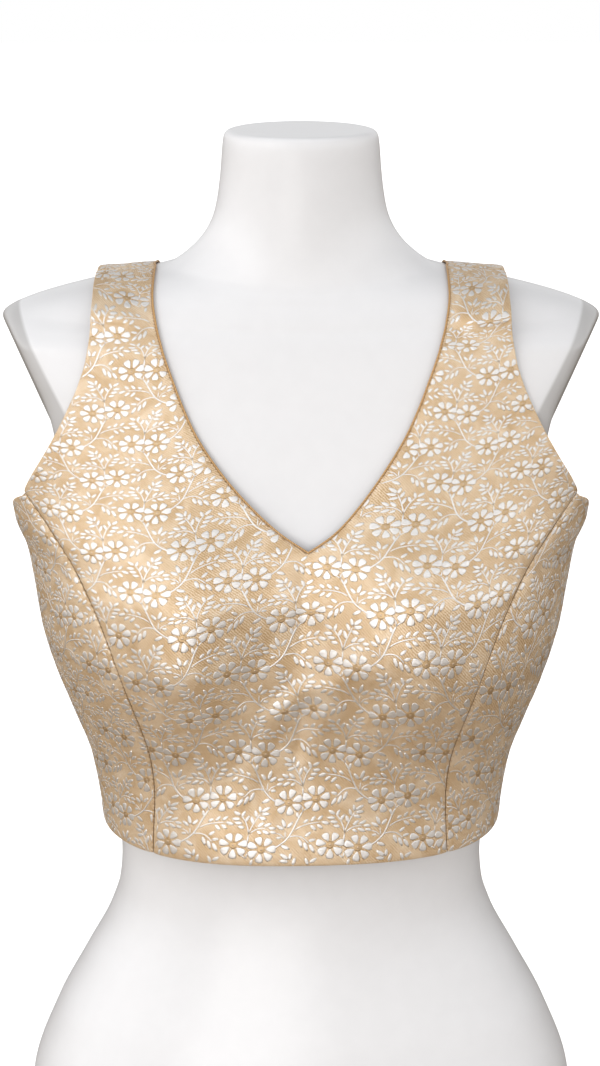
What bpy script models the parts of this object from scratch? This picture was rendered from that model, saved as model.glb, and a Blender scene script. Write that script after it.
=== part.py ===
"""A sleeveless choli blouse standing on a limbless dress form, sizes in millimetres until the mesh is made.

Every surface here is one family of rings. A ring has a level along the body, and an angle runs round it:
0 at centre front, 90 degrees at the wearer's left side (+X), 180 at centre back. The front faces -Y.
The form and the blouse each have a short table of rings; the cut edges of the blouse are curves drawn in
(angle, level), and each cut piece is the stretch of blouse surface between two such edges.
"""
import bpy
import numpy as np

MM = 0.001

# ---------------------------------------------------------------- driving sizes
WALL = 1.5                # cloth with its turned-in backing
SEAM_GAP = 0.3            # daylight between neighbouring pieces
EASE_ON_CHEST = 2.6       # daylight between the straps' inner face and the form
EASE_ON_RIDGE = 0.7       # the same along the shoulder's ridge, where the straps rest
ROLL_DIAMETER = 1.6       # facing edge that rolls out along the neckline

HEM_LEVEL = 278.0
NECK_POINT_LEVEL = 482.5  # bottom of the front V
UNDERARM_LEVEL = 481.0
UNDERARM_SCOOP = 0.0285   # mm of rise for each square degree away from the side seam
BACK_NECK_LEVEL = 566.0   # bottom of the round back neck
BACK_NECK_ROUND = 2.6     # exponent of its quarter superellipse
STRAP_INNER = 90.5        # half breadth at the neck end of the shoulder seam
STRAP_OUTER = 127.3       # half breadth at the armhole end of the shoulder seam

PLACKET_HALF = 9.0        # each back laps this far past the middle
PLACKET_FLAT = 22.0       # the upper back lies at its full rise out to here
PLACKET_RAMP = 24.0       # and comes down to the body over this breadth
LAP_RISE = WALL + 0.9

CUP_HALF_SPAN = 88.0      # middle of the front to the fullest point of a cup

STUMP_X = 188.5           # plane that cuts the arm off, at STUMP_Z and y = 0
STUMP_Z = 606.0
STUMP_SLOPE = 0.432       # the plane leans in towards the armpit
STUMP_TURN = 0.19         # and turns a little to the front
STUMP_ROUND = 19.0        # softness of its rim
FLANK_X = 150.0           # the side of the chest under the stump
FLANK_ROUND = 10.0
PRESS_ABOVE = 440.0       # the stump and flank act only above the cups
RIDGE_FROM = 545.0        # ring levels between which the shoulder's surface turns
RIDGE_TO = 635.0          # from facing forwards to facing up

# ------------------------------------------------------------------------ rings
# level: place along the body. side_z, front_z, back_z: height of the ring at its side, front and back.
# half_width, front, back: reach from the body's axis. hollow: how much less the front reaches at the
# middle than at the cups. square: 0 is an ellipse, 0.03 has fuller corners.
RING = ("level", "side_z", "front_z", "back_z", "half_width", "front", "back", "hollow", "square")

FORM_LOWER = [
    (0, 0, 0, 0, 173, 106, 112, 0, 0.030),
    (3, 2, 2, 2, 176, 109, 115, 0, 0.030),
    (12, 8, 8, 8, 177.5, 110, 116, 0, 0.030),
    (60, 60, 60, 60, 180.8, 113, 121, 0, 0.030),
    (95, 95, 95, 95, 178.2, 112, 120, 0, 0.028),
    (142, 142, 142, 142, 161.8, 104, 111, 0, 0.025),
    (177, 177, 177, 177, 143.2, 96, 101, 0, 0.022),
    (211, 211, 211, 211, 125.1, 89.5, 91.5, 0, 0.020),
    (232, 232, 232, 232, 118.6, 87, 87, 0, 0.020),
    (250, 250, 250, 250, 117.2, 86, 85.5, 0, 0.020),
    (275, 275, 275, 275, 119, 86.5, 86, 0, 0.020),
    (310, 310, 310, 310, 125, 90, 89, 2, 0.020),
    (345, 345, 345, 345, 135, 101, 93, 9, 0.020),
    (380, 380, 380, 380, 148, 123, 96.5, 18, 0.020),
    (415, 415, 415, 415, 157, 139, 99, 24, 0.020),
    (445, 445, 445, 445, 162, 137, 101.5, 22, 0.020),
    (475, 475, 475, 475, 171, 124, 103.5, 15, 0.020),
    (505, 505, 505, 505, 190, 105.5, 104, 7, 0.020),
]
# from here up the blouse lies on the form
FORM_SHOULDER = [
    (545, 545, 545, 545, 213, 89, 103, 1, 0.020),
    (575, 575, 575, 573, 224, 79.5, 99.5, 0, 0.020),
    (596, 591.5, 590, 589, 222, 74.5, 95.5, 0, 0.020),
    (614, 602, 599, 597, 203, 71, 91, 0, 0.010),
    (632, 609.3, 605, 603.5, 185, 68, 87, 0, 0),
    (650, 616, 610, 609.5, 168, 66, 83, 0, 0),
    (666, 620.5, 614, 615, 153, 64, 79.5, 0, 0),
    (690, 626, 619.5, 622.5, 130, 61, 74.5, 0, 0),
    (711, 630, 623.5, 628.5, 110, 59, 70, 0, 0),
    (727, 633, 627, 634, 95, 57, 66.5, 0, 0),
    (738, 635.5, 630.5, 640, 84.5, 55.5, 63.5, 0, 0),
]
FORM_NECK = [
    (747, 640, 635.5, 646.5, 76.5, 54.3, 60.8, 0, 0),
    (756, 646, 641.5, 653, 69, 53.4, 58.6, 0, 0),
    (765, 652.5, 648, 659, 62.8, 52.7, 56.9, 0, 0),
    (775, 661, 657, 666, 57.3, 52.1, 55.4, 0, 0),
    (785, 670, 667, 674.5, 53.8, 51.6, 54.2, 0, 0),
    (797, 682, 680, 685, 51.5, 51.2, 53.2, 0, 0),
    (812, 697, 696, 698, 49.8, 50.8, 52.2, 0, 0),
    (827, 712, 712, 712, 48.6, 50.3, 51.2, 0, 0),
    (833, 717.2, 717.2, 717.2, 47.6, 49.3, 50.2, 0, 0),
    (836, 719.3, 719.3, 719.3, 45.6, 47.4, 48.3, 0, 0),
    (839, 720, 720, 720, 43, 44.9, 45.8, 0, 0),
]
BLOUSE_BODY = [
    (278, 278, 278, 278, 128.5, 110, 97, 0, 0.033),
    (300, 300, 300, 300, 131.8, 112.5, 99, 1.5, 0.030),
    (325, 325, 325, 325, 136.8, 119, 101, 4, 0.027),
    (350, 350, 350, 350, 146, 130, 104, 9, 0.023),
    (380, 380, 380, 380, 157.5, 144, 106.5, 15, 0.020),
    (410, 410, 410, 410, 166, 151, 108, 19, 0.020),
    (445, 445, 445, 445, 171.8, 146, 109.5, 18, 0.020),
    (461, 461, 461, 461, 175, 138.5, 110.5, 16, 0.020),
    (477, 477, 477, 477, 182.2, 130, 111, 13, 0.020),
    (491, 491, 491, 491, 187.5, 120.5, 111, 9.5, 0.020),
    (507, 507, 507, 507, 194, 111, 110.5, 6, 0.020),
]

# --------------------------------------------------------- cut edges of the blouse
# half_breadth: distance from the middle of the body, at a level
FRONT_NECK = {  # from the V's point to the shoulder
    "level": (482.5, 492, 503, 526, 549, 572.5, 601.5, 641, 700),
    "half_breadth": (0, 15.5, 28.5, 49.5, 65, 75.6, 83.3, 88, 90.5),
}
FRONT_ARMHOLE = {  # above the top of the princess seam
    "level": (519, 532, 551, 570, 590, 618, 661, 685),
    "half_breadth": (164, 156.2, 145.7, 136.6, 131, 128, 126.8, 127),
}
BACK_ARMHOLE = {
    "level": (519, 532, 551, 570, 590, 618, 661, 685),
    "half_breadth": (166, 159.5, 150.5, 142.5, 136.5, 131, 127.8, 127.2),
}
PRINCESS_SEAM = {  # from the hem over the cup to the armhole
    "level": (278, 307, 336, 366, 393, 418.5, 441, 462.5, 483.5, 502.6),
    "half_breadth": (91.5, 91.5, 94.2, 100.9, 108.5, 116.6, 126, 138.4, 154.4, 171.5),
}


# ------------------------------------------------------------------ ring surface
def smooth_rows(levels, rows, at):
    """Columns of a table read at any level, by cubic pieces that never overshoot a row."""
    step = np.diff(levels)[:, None]
    slope = np.diff(rows, axis=0) / step
    before, after = 2 * step[1:] + step[:-1], step[1:] + 2 * step[:-1]
    turning = slope[:-1] * slope[1:] <= 0
    safe = np.where(turning, 1.0, slope[:-1]), np.where(turning, 1.0, slope[1:])
    tangent = np.empty_like(rows)
    tangent[1:-1] = np.where(turning, 0.0, (before + after) / (before / safe[0] + after / safe[1]))
    tangent[0], tangent[-1] = slope[0], slope[-1]
    at = np.clip(np.asarray(at, float), levels[0], levels[-1])
    i = np.clip(np.searchsorted(levels, at, side="right") - 1, 0, len(levels) - 2)
    h = (levels[i + 1] - levels[i])[..., None]
    t = (at - levels[i])[..., None] / h
    return ((1 + 2 * t) * (1 - t) ** 2 * rows[i] + t * (1 - t) ** 2 * h * tangent[i]
            + t * t * (3 - 2 * t) * rows[i + 1] + t * t * (t - 1) * h * tangent[i + 1])


def read_ring(table, level):
    columns = np.moveaxis(smooth_rows(table[:, 0], table[:, 1:], level), -1, 0)
    return dict(zip(RING[1:], columns))


def ring_points(table, angle, level):
    """x = w (sin a + s sin 3a) / (1 - s), y the same with cos, less the hollow between the cups."""
    ring = read_ring(table, level)
    fuller = ring["square"]
    across = (np.sin(angle) + fuller * np.sin(3 * angle)) / (1 - fuller)
    along = (np.cos(angle) - fuller * np.cos(3 * angle)) / (1 - fuller)
    x = ring["half_width"] * across
    dip = ring["hollow"] * np.clip(1 - (x / CUP_HALF_SPAN) ** 2, 0, None) ** 2
    in_front = np.cos(angle) > 0
    y = np.where(in_front, dip - ring["front"] * along, -ring["back"] * along)
    end_z = np.where(in_front, ring["front_z"], ring["back_z"])
    z = ring["side_z"] + (end_z - ring["side_z"]) * np.cos(angle) ** 2
    return np.stack([x, y, z], axis=-1)


def soft_min(a, b, blend):
    h = np.clip(0.5 + 0.5 * (b - a) / blend, 0, 1)
    return b * (1 - h) + a * h - blend * h * (1 - h)


def form_points(angle, level):
    """The form's rings, with all that lies past the stump's plane or the flank pressed back on to it."""
    x, y, z = np.moveaxis(ring_points(FORM, angle, level), -1, 0)
    plane = STUMP_X - STUMP_SLOPE * (STUMP_Z - z) + STUMP_TURN * y
    limit = -soft_min(-plane, -np.full_like(plane, FLANK_X), FLANK_ROUND)
    pressed = soft_min(np.abs(x), limit, STUMP_ROUND)
    x = np.where(z > PRESS_ABOVE, np.sign(x) * pressed, x)
    return np.stack([x, y, z], axis=-1)


def lifted(rows):
    """Shoulder rings moved off the form: forwards and backwards all the way, and upwards on the ridge."""
    rows = np.array(rows, float)
    ridge = np.clip((rows[:, 0] - RIDGE_FROM) / (RIDGE_TO - RIDGE_FROM), 0, 1)
    rows[:, 5:7] += WALL + EASE_ON_CHEST
    rows[:, 1] += (WALL + EASE_ON_RIDGE) * ridge
    rows[:, 2:4] += 0.4 * (WALL + EASE_ON_RIDGE) * ridge[:, None]
    return rows


FORM = np.array(FORM_LOWER + FORM_SHOULDER + FORM_NECK, float)
BLOUSE = np.vstack([BLOUSE_BODY, lifted(FORM_SHOULDER)])


def angle_at(half_breadth, level):
    """The angle at which a blouse ring is that far from the middle, by halving."""
    ring = read_ring(BLOUSE, level)
    wanted = np.abs(half_breadth) / ring["half_width"] * (1 - ring["square"])
    low, high = np.zeros_like(wanted), np.full_like(wanted, np.pi / 2)
    for _ in range(40):
        middle = (low + high) / 2
        short = np.sin(middle) + ring["square"] * np.sin(3 * middle) < wanted
        low, high = np.where(short, middle, low), np.where(short, high, middle)
    return np.sign(half_breadth) * (low + high) / 2


def ridge_level(half_breadth):
    """The level whose ring is that wide, where a strap's edge reaches the shoulder seam."""
    levels = np.linspace(FORM_SHOULDER[4][0], FORM_SHOULDER[-1][0], 400)
    return np.interp(-half_breadth, -read_ring(BLOUSE, levels)["half_width"], levels)


# -------------------------------------------------------------------- cut edges
FINE = 200                # points along an edge before it is divided


def divided(curve, rows):
    """An (angle, level) curve divided into equal lengths as measured on the blouse."""
    points = ring_points(BLOUSE, curve[:, 0], curve[:, 1])
    run = np.concatenate([[0], np.cumsum(np.linalg.norm(np.diff(points, axis=0), axis=1))])
    at = np.linspace(0, run[-1], rows + 1)
    return np.stack([np.interp(at, run, curve[:, 0]), np.interp(at, run, curve[:, 1])], axis=-1)


def joined(*curves):
    return np.concatenate([curves[0]] + [c[1:] for c in curves[1:]])


def by_table(table, shoulder_breadth, start=None):
    """An edge given as half breadths, carried on to the shoulder seam at 90 degrees."""
    top = ridge_level(shoulder_breadth)
    levels = np.append(table["level"], top)
    breadth = np.append(table["half_breadth"], shoulder_breadth)
    t = np.linspace(0, 1, FINE)
    level = levels[0] + (top - levels[0]) * (1 - (1 - t) ** 2)
    x = smooth_rows(levels, breadth[:, None], level)[:, 0]
    curve = np.stack([angle_at(x, level), level], axis=-1)
    curve[-1] = np.pi / 2, top
    return curve if start is None else np.concatenate([start, curve])


def scoop(to_angle):
    """The underarm: level rises with the square of the angle away from the side seam."""
    away = np.linspace(0, to_angle, FINE // 2)
    level = UNDERARM_LEVEL + UNDERARM_SCOOP * np.degrees(away) ** 2
    return np.stack([np.pi / 2 - away, level], axis=-1)


def princess_seam():
    levels = np.array(PRINCESS_SEAM["level"])
    level = np.linspace(levels[0], levels[-1], FINE)
    x = smooth_rows(levels, np.array(PRINCESS_SEAM["half_breadth"])[:, None], level)[:, 0]
    return np.stack([angle_at(x, level), level], axis=-1)


def upright(angle_of, low, high):
    level = np.linspace(low, high, FINE)
    return np.stack([angle_of(level), level], axis=-1)


def to_back(curve):
    return np.stack([np.pi - curve[:, 0], curve[:, 1]], axis=-1)


def back_neck(lap):
    """A quarter superellipse from the low middle of the back, or from lap past it, up to the shoulder."""
    top = ridge_level(STRAP_INNER)
    start = -lap / STRAP_INNER
    reach = 1 - (1 - start) * np.linspace(1, 0, FINE) ** 2
    drop = (1 - np.abs(reach) ** BACK_NECK_ROUND) ** (1 / BACK_NECK_ROUND)
    level = top - (top - BACK_NECK_LEVEL) * drop
    curve = np.stack([angle_at(STRAP_INNER * reach, level), level], axis=-1)
    curve[-1] = np.pi / 2, top
    return to_back(curve)


def surface_at(places):
    """Points at (angle, level), how the surface runs there by each of them, and its outward normal."""
    nudge = 1e-4

    def at(turn, climb):
        return ring_points(BLOUSE, places[..., 0] + turn, places[..., 1] + climb)

    by_angle = (at(nudge, 0) - at(-nudge, 0)) / (2 * nudge)
    by_level = (at(0, nudge) - at(0, -nudge)) / (2 * nudge)
    out = np.cross(by_angle, by_level)
    return at(0, 0), by_angle, by_level, out / np.linalg.norm(out, axis=-1, keepdims=True)


def inset(curve, width):
    """An edge moved sideways in the surface by a true width, to the right of its way when seen from
    outside. The surface's two slopes turn the move into a change of angle and level."""
    here, by_angle, by_level, out = surface_at(curve)
    aside = np.cross(np.gradient(here, axis=0), out)
    aside *= width / np.linalg.norm(aside, axis=-1, keepdims=True)
    change = np.linalg.pinv(np.stack([by_angle, by_level], axis=-1)) @ aside[:, :, None]
    return curve + change[:, :, 0]


def between(first, last, shares):
    """Grid of (angle, level) whose rows run straight from one edge to the other."""
    u = np.reshape(shares, (1, -1, 1))
    return first[:, None] * (1 - u) + last[:, None] * u


# ----------------------------------------------------------------------- meshes
def material(name, colour, roughness, metallic=0.0):
    made = bpy.data.materials.new(name)
    made.use_nodes = True
    shader = made.node_tree.nodes["Principled BSDF"]
    shader.inputs["Base Color"].default_value = (*colour, 1)
    shader.inputs["Roughness"].default_value = roughness
    shader.inputs["Metallic"].default_value = metallic
    return made


def add_object(name, data, finish):
    made = bpy.data.objects.new(name, data)
    bpy.context.scene.collection.objects.link(made)
    data.materials.append(finish)
    return made


def drawn_back(edge, neighbour, width):
    """An edge moved towards its neighbouring line of points until it has left a gap of a true width."""
    way = neighbour - edge
    way /= np.linalg.norm(way, axis=-1, keepdims=True)
    along = np.gradient(edge, axis=0)
    along /= np.linalg.norm(along, axis=-1, keepdims=True)
    slant = np.linalg.norm(np.cross(way, along), axis=-1, keepdims=True)
    return edge + way * width / np.clip(slant, 0.4, 1)


def trimmed(points, first=0.0, last=0.0, top=0.0):
    """Edge columns and the top row drawn back along the cloth, to leave daylight at the seams."""
    points = points.copy()
    points[:, 0] = drawn_back(points[:, 0], points[:, 1], first)
    points[:, -1] = drawn_back(points[:, -1], points[:, -2], last)
    points[-1] = drawn_back(points[-1], points[-2], top)
    return points


def wall_mesh(name, outer, inner, open_rows=0):
    """A closed wall between two grids whose columns run to the wearer's left when seen from outside.
    open_rows leaves the low part of the first column without a rim, where a mirrored half joins on."""
    rows, columns = outer.shape[:2]
    index = np.arange(rows * columns).reshape(rows, columns)
    corners = index[:-1, :-1], index[:-1, 1:], index[1:, 1:], index[1:, :-1]
    face = np.stack(corners, axis=-1).reshape(-1, 4)
    edge = np.concatenate([index[0, :-1], index[:-1, -1], index[-1, :0:-1], index[:open_rows:-1, 0]])
    following = np.append(edge[1:], index[open_rows, 0])
    rim = np.stack([edge, edge + index.size, following + index.size, following], axis=-1)
    faces = np.concatenate([face, face[:, ::-1] + index.size, rim])
    mesh = bpy.data.meshes.new(name)
    points = np.concatenate([outer.reshape(-1, 3), inner.reshape(-1, 3)])
    mesh.from_pydata((points * MM).tolist(), [], faces.tolist())
    mesh.shade_smooth()
    mesh.set_sharp_from_angle(angle=np.radians(50))
    return mesh


def cloth(name, outer, out, finish, open_rows=0):
    """A cut piece: its outer face, and a wall of cloth inside it."""
    piece = add_object(name, wall_mesh(name, outer, outer - out * WALL, open_rows), finish)
    if open_rows:
        mirror = piece.modifiers.new("On the fold", "MIRROR")
        mirror.merge_threshold = 0.00005
    return piece


def flipped(grid):
    """A grid of points or normals for the wearer's other side, its columns still running the same way."""
    return grid[:, ::-1] * (-1, 1, 1)


def roll(name, path, finish):
    """The facing edge, a thin cord along a neckline."""
    curve = bpy.data.curves.new(name, "CURVE")
    curve.dimensions = "3D"
    curve.bevel_depth = ROLL_DIAMETER / 2 * MM
    curve.bevel_resolution = 1
    curve.use_fill_caps = True
    line = curve.splines.new("POLY")
    line.points.add(len(path) - 1)
    line.points.foreach_set("co", np.c_[path * MM, np.ones(len(path))].ravel())
    return add_object(name, curve, finish)


# ----------------------------------------------------------------------- pieces
# Grid rows below and above each piece's corner point, and columns across it. Both pieces at a seam
# have the same rows along it, so that their edges stay parallel.
SEAM_ROWS = 14
FRONT_ROWS = (SEAM_ROWS, 18)
FRONT_COLUMNS = np.linspace(0, 1, 10)
SIDE_COLUMNS = np.linspace(0, 1, 7)
BACK_NECK_ROWS = (17, 17)
BACK_SIDE_ROWS = (SEAM_ROWS, 20)
BACK_COLUMNS = np.append(np.linspace(0, 0.82, 9), (0.9, 1))    # the last three carry the lap
BACK_SCOOP_TO = np.radians(33)
FORM_SEGMENTS = 60
CROWD_TO_SIDES = 0.12     # the form's columns stand closer together at the stumps
HALF_GAP = SEAM_GAP / 2


def front_neck(width):
    """The V's edge on the wearer's left, inset by a width and begun exactly on the middle. It is first
    carried a little past the middle, so that the inset edge still reaches it."""
    curve = by_table(FRONT_NECK, STRAP_INNER)
    curve = inset(np.concatenate([[2 * curve[0] - curve[3]], curve]), width)
    start = [0.0, np.interp(0.0, curve[:, 0], curve[:, 1])]
    return np.concatenate([[start], curve[curve[:, 0] > 0]])


def front_grid():
    neck = front_neck(ROLL_DIAMETER + SEAM_GAP)
    middle = upright(np.zeros_like, HEM_LEVEL, neck[0, 1])
    seam = princess_seam()
    armhole = by_table(FRONT_ARMHOLE, STRAP_OUTER, start=seam[-1:])
    inner = joined(divided(middle, FRONT_ROWS[0]), divided(neck, FRONT_ROWS[1]))
    outer = joined(divided(seam, FRONT_ROWS[0]), divided(armhole, FRONT_ROWS[1]))
    return between(inner, outer, FRONT_COLUMNS)


def side_seam():
    return upright(lambda level: np.full_like(level, np.pi / 2), HEM_LEVEL, UNDERARM_LEVEL)


def side_front_grid():
    """The top row follows the underarm scoop; rows below it straighten towards the hem."""
    grid = between(divided(princess_seam(), SEAM_ROWS), divided(side_seam(), SEAM_ROWS), SIDE_COLUMNS)
    away = np.pi / 2 - grid[-1, :, 0]
    scooped = UNDERARM_LEVEL + (grid[-1, 0, 1] - UNDERARM_LEVEL) * (away / away[0]) ** 2
    climb = ((grid[:, :1, 1] - HEM_LEVEL) / (grid[-1, 0, 1] - HEM_LEVEL)) ** 3
    grid[..., 1] += (scooped - grid[-1, :, 1]) * climb
    return grid


def back_grid():
    """The wearer's left back, from the side seam to the lap past the middle."""
    neck = inset(back_neck(PLACKET_HALF), -ROLL_DIAMETER - SEAM_GAP)
    lap = upright(lambda level: np.pi + angle_at(np.full_like(level, PLACKET_HALF), level),
                  HEM_LEVEL, neck[0, 1])
    armhole = to_back(by_table(BACK_ARMHOLE, STRAP_OUTER, start=scoop(BACK_SCOOP_TO)))
    inner = joined(divided(lap, BACK_NECK_ROWS[0]), divided(neck, BACK_NECK_ROWS[1]))
    outer = joined(divided(side_seam(), BACK_SIDE_ROWS[0]), divided(armhole, BACK_SIDE_ROWS[1]))
    return between(outer, inner, BACK_COLUMNS)


def lap_rise(points):
    """How far the upper back stands off near the middle: full over the under back, then easing down."""
    t = np.clip((PLACKET_FLAT + PLACKET_RAMP - points[..., :1]) / PLACKET_RAMP, 0, 1)
    return LAP_RISE * t * t * (3 - 2 * t)


def roll_path(curve, rows):
    """Middle of the facing edge: half a wall deep in the cloth."""
    here, _, _, out = surface_at(divided(curve, rows))
    path = here - out * WALL / 2
    last = path[-1] - path[-2]
    path[-1] -= last / np.linalg.norm(last) * HALF_GAP
    return path, out


def add_rolls(finish):
    left, _ = roll_path(front_neck(ROLL_DIAMETER / 2), FRONT_ROWS[1])
    roll("neck_edge_front", np.concatenate([(left * (-1, 1, 1))[:0:-1], left]), finish)
    path, out = roll_path(inset(back_neck(PLACKET_HALF), -ROLL_DIAMETER / 2), BACK_NECK_ROWS[1])
    roll("neck_edge_back_left", path + out * lap_rise(path), finish)
    roll("neck_edge_back_right", path * (-1, 1, 1), finish)


def clear_objects():
    for old in list(bpy.data.objects):
        bpy.data.objects.remove(old, do_unlink=True)


def build_form():
    """The whole shell: rings close together at the stumps' rims, the base and the neck's rim."""
    levels = np.unique(np.concatenate([
        (0, 3, 12, 35), np.arange(60, 270, 24), np.arange(275, 540, 30), np.arange(545, 580, 11),
        np.arange(585, 640, 7), np.arange(645, 740, 13), np.arange(743, 800, 9), (812, 827, 833, 836, 839)]))
    turn = np.linspace(0, 2 * np.pi, FORM_SEGMENTS, endpoint=False)
    angle = turn + CROWD_TO_SIDES * np.sin(2 * turn)
    points = form_points(*np.meshgrid(angle, levels))
    rows = len(levels)
    index = np.arange(rows * FORM_SEGMENTS).reshape(rows, FORM_SEGMENTS)
    beside = np.roll(index, -1, axis=1)
    quads = np.stack([index[:-1], beside[:-1], beside[1:], index[1:]], axis=-1).reshape(-1, 4)
    faces = quads.tolist() + [index[0, ::-1].tolist(), index[-1].tolist()]
    mesh = bpy.data.meshes.new("dress_form")
    mesh.from_pydata((points.reshape(-1, 3) * MM).tolist(), [], faces)
    mesh.shade_smooth()
    mesh.set_sharp_from_angle(angle=np.radians(50))
    return add_object("dress_form", mesh, material("Gloss white shell", (0.86, 0.86, 0.87), 0.25))


def main():
    clear_objects()
    build_form()
    brocade = material("Gold brocade", (0.62, 0.46, 0.28), 0.45, 0.3)
    facing = material("Facing edge", (0.45, 0.29, 0.14), 0.6)

    front, _, _, out = surface_at(front_grid())
    front = trimmed(front, last=HALF_GAP, top=HALF_GAP)
    cloth("front_center", front, out, brocade, open_rows=SEAM_ROWS)

    side, _, _, out = surface_at(side_front_grid())
    side = trimmed(side, first=HALF_GAP, last=HALF_GAP)
    cloth("side_front_left", side, out, brocade)
    cloth("side_front_right", flipped(side), flipped(out), brocade)

    back, _, _, out = surface_at(back_grid())
    back = trimmed(back, first=HALF_GAP, top=HALF_GAP)
    cloth("back_left", back + out * lap_rise(back), out, brocade)
    cloth("back_right", flipped(back), flipped(out), brocade)

    add_rolls(facing)


main()
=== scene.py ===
# %% [markdown]
# # A choli blouse on a dress form
#
# A choli is the short fitted blouse that is worn under a saree. This one is sleeveless, cut from gold
# brocade with a deep V neck, and shaped by two princess seams that run from the hem over the cups to the
# armholes. It stands on the glossy white dress form that a shop shows it on.
#
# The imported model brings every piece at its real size. This lesson lays a finer surface over each of
# them: the form's skin, the five cut pieces of cloth, the rolled neck edges and the woven flowers.
# Everything is worked out in millimetres and turned to Blender's metres as it becomes a mesh.

import bpy
import numpy as np
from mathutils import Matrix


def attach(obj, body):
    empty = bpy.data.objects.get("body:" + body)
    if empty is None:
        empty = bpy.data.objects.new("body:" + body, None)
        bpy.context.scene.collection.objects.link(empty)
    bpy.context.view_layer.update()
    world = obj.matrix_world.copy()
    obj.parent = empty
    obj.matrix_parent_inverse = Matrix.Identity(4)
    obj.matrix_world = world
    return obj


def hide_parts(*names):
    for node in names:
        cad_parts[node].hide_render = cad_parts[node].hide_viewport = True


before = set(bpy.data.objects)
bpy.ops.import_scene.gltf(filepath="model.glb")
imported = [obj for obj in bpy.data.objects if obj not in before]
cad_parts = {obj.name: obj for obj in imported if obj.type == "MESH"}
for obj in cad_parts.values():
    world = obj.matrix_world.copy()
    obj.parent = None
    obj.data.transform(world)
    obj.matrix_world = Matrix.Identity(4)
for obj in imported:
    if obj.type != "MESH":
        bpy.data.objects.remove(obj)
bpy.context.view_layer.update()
MM = 0.001                        # metres in a millimetre
print("packed pieces:", ", ".join(sorted(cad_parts)))

# %% [markdown]
# A few small helpers serve every finish. Colours are picked as they look on a screen, as hex values, and a
# shader wants the light behind them, so one function turns the one into the other. The others set a
# node's sockets, link what comes before it, and add a node, so that a finish reads as a short recipe.


# %% Helpers for colours and nodes
def linear(hexa):
    """The light of a screen colour: each channel c becomes ((c + 0.055) / 1.055) to the power 2.4."""
    c = np.array([int(hexa[i:i + 2], 16) / 255 for i in (0, 2, 4)])
    light = np.where(c <= 0.04045, c / 12.92, ((c + 0.055) / 1.055) ** 2.4)
    return (*light.tolist(), 1.0)


def set_sockets(node, sockets):
    """Sets sockets by name or number. A node or an output is linked (of a node, the first output that is
    in use), a hex colour is turned to light, and any other value is set as it is."""
    for name, value in sockets.items():
        if isinstance(value, bpy.types.Node):
            value = next(output for output in value.outputs if output.enabled)
        if isinstance(value, bpy.types.NodeSocket):
            node.id_data.links.new(value, node.inputs[name])
        else:
            node.inputs[name].default_value = linear(value) if isinstance(value, str) else value


def add_node(tree, kind, sockets=None, stops=(), **settings):
    """Adds one node with its settings and sockets, and with (place, hex) stops where it is a ramp."""
    node = tree.nodes.new(kind)
    for name, value in settings.items():
        setattr(node, name, value)
    set_sockets(node, sockets or {})
    for k, (place, hexa) in enumerate(stops):
        bar = node.color_ramp.elements
        element = bar[k] if k < len(bar) else bar.new(place)
        element.position = place
        element.color = linear(hexa)
    return node


def new_finish(name):
    """An empty material, with its node tree and its Principled shader."""
    finish = bpy.data.materials.new(name)
    finish.use_nodes = True
    return finish, finish.node_tree, finish.node_tree.nodes["Principled BSDF"]


print("gold thread is", [round(v, 3) for v in linear("DDB882")[:3]], "in light")

# %% [markdown]
# The camera stands about two metres off, a little above the shoulders, and looks down on the front with a
# long lens, as for a shop's catalogue. From there the neck's cap shows as a thin ellipse, and the hem as a
# curve that sags in the middle.

# %% Camera
FRAME_LONG_SIDE = 1066            # pixels, of a 600 x 1066 frame
CAMERA_ASIDE, CAMERA_AWAY, CAMERA_HEIGHT = -0.0006, 1.85, 0.931       # metres from the form's middle
CAMERA_DOWN = 14.222              # degrees
FOCAL_PIXELS = 2982.0             # focal length, measured in pixels of that frame
SENSOR = 36.0
CLIP = 0.05, 50.0

camera = bpy.data.objects.new("Camera", bpy.data.cameras.new("Camera"))
bpy.context.scene.collection.objects.link(camera)
camera.data.sensor_width = SENSOR
camera.data.lens = SENSOR * FOCAL_PIXELS / FRAME_LONG_SIDE
camera.data.clip_start, camera.data.clip_end = CLIP
camera.location = (CAMERA_ASIDE, -CAMERA_AWAY, CAMERA_HEIGHT)
camera.rotation_euler = (np.radians(90 - CAMERA_DOWN), 0, 0)
bpy.context.scene.camera = camera
print("lens", round(camera.data.lens, 2), "mm")

# %% [markdown]
# The light is a white studio's. A large softbox high on the left gives the form its long soft gloss, and a
# low one in front lifts the hem. The walls are brightest a little above the horizon and beside the form,
# while the floor and the ceiling give little back, so the cloth falls off under the bust. Far walls are
# dimmer, which draws the form's edges in soft grey against the plain white backdrop, and so is the wall on
# the right.

# %% Lamps
scene = bpy.context.scene
scene.view_settings.view_transform = "Standard"


def softbox(name, place, target, size, watts):
    """A rectangular lamp at a place, turned to a target, both in metres."""
    lamp = bpy.data.lights.new(name, "AREA")
    lamp.shape = "RECTANGLE"
    lamp.size, lamp.size_y = size
    lamp.energy = watts
    box = bpy.data.objects.new(name, lamp)
    box.location = place
    toward = np.subtract(target, place)
    flat = np.hypot(toward[0], toward[1])
    box.rotation_euler = (np.arctan2(flat, -toward[2]), 0, np.arctan2(-toward[0], toward[1]))
    scene.collection.objects.link(box)


softbox("key_softbox", (-1.5, -1.5, 1.75), (0.0, 0.0, 0.45), (1.3, 1.5), 6.8)
softbox("low_softbox", (-0.45, -1.9, 0.12), (0.0, 0.0, 0.4), (1.1, 0.6), 10)

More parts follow.
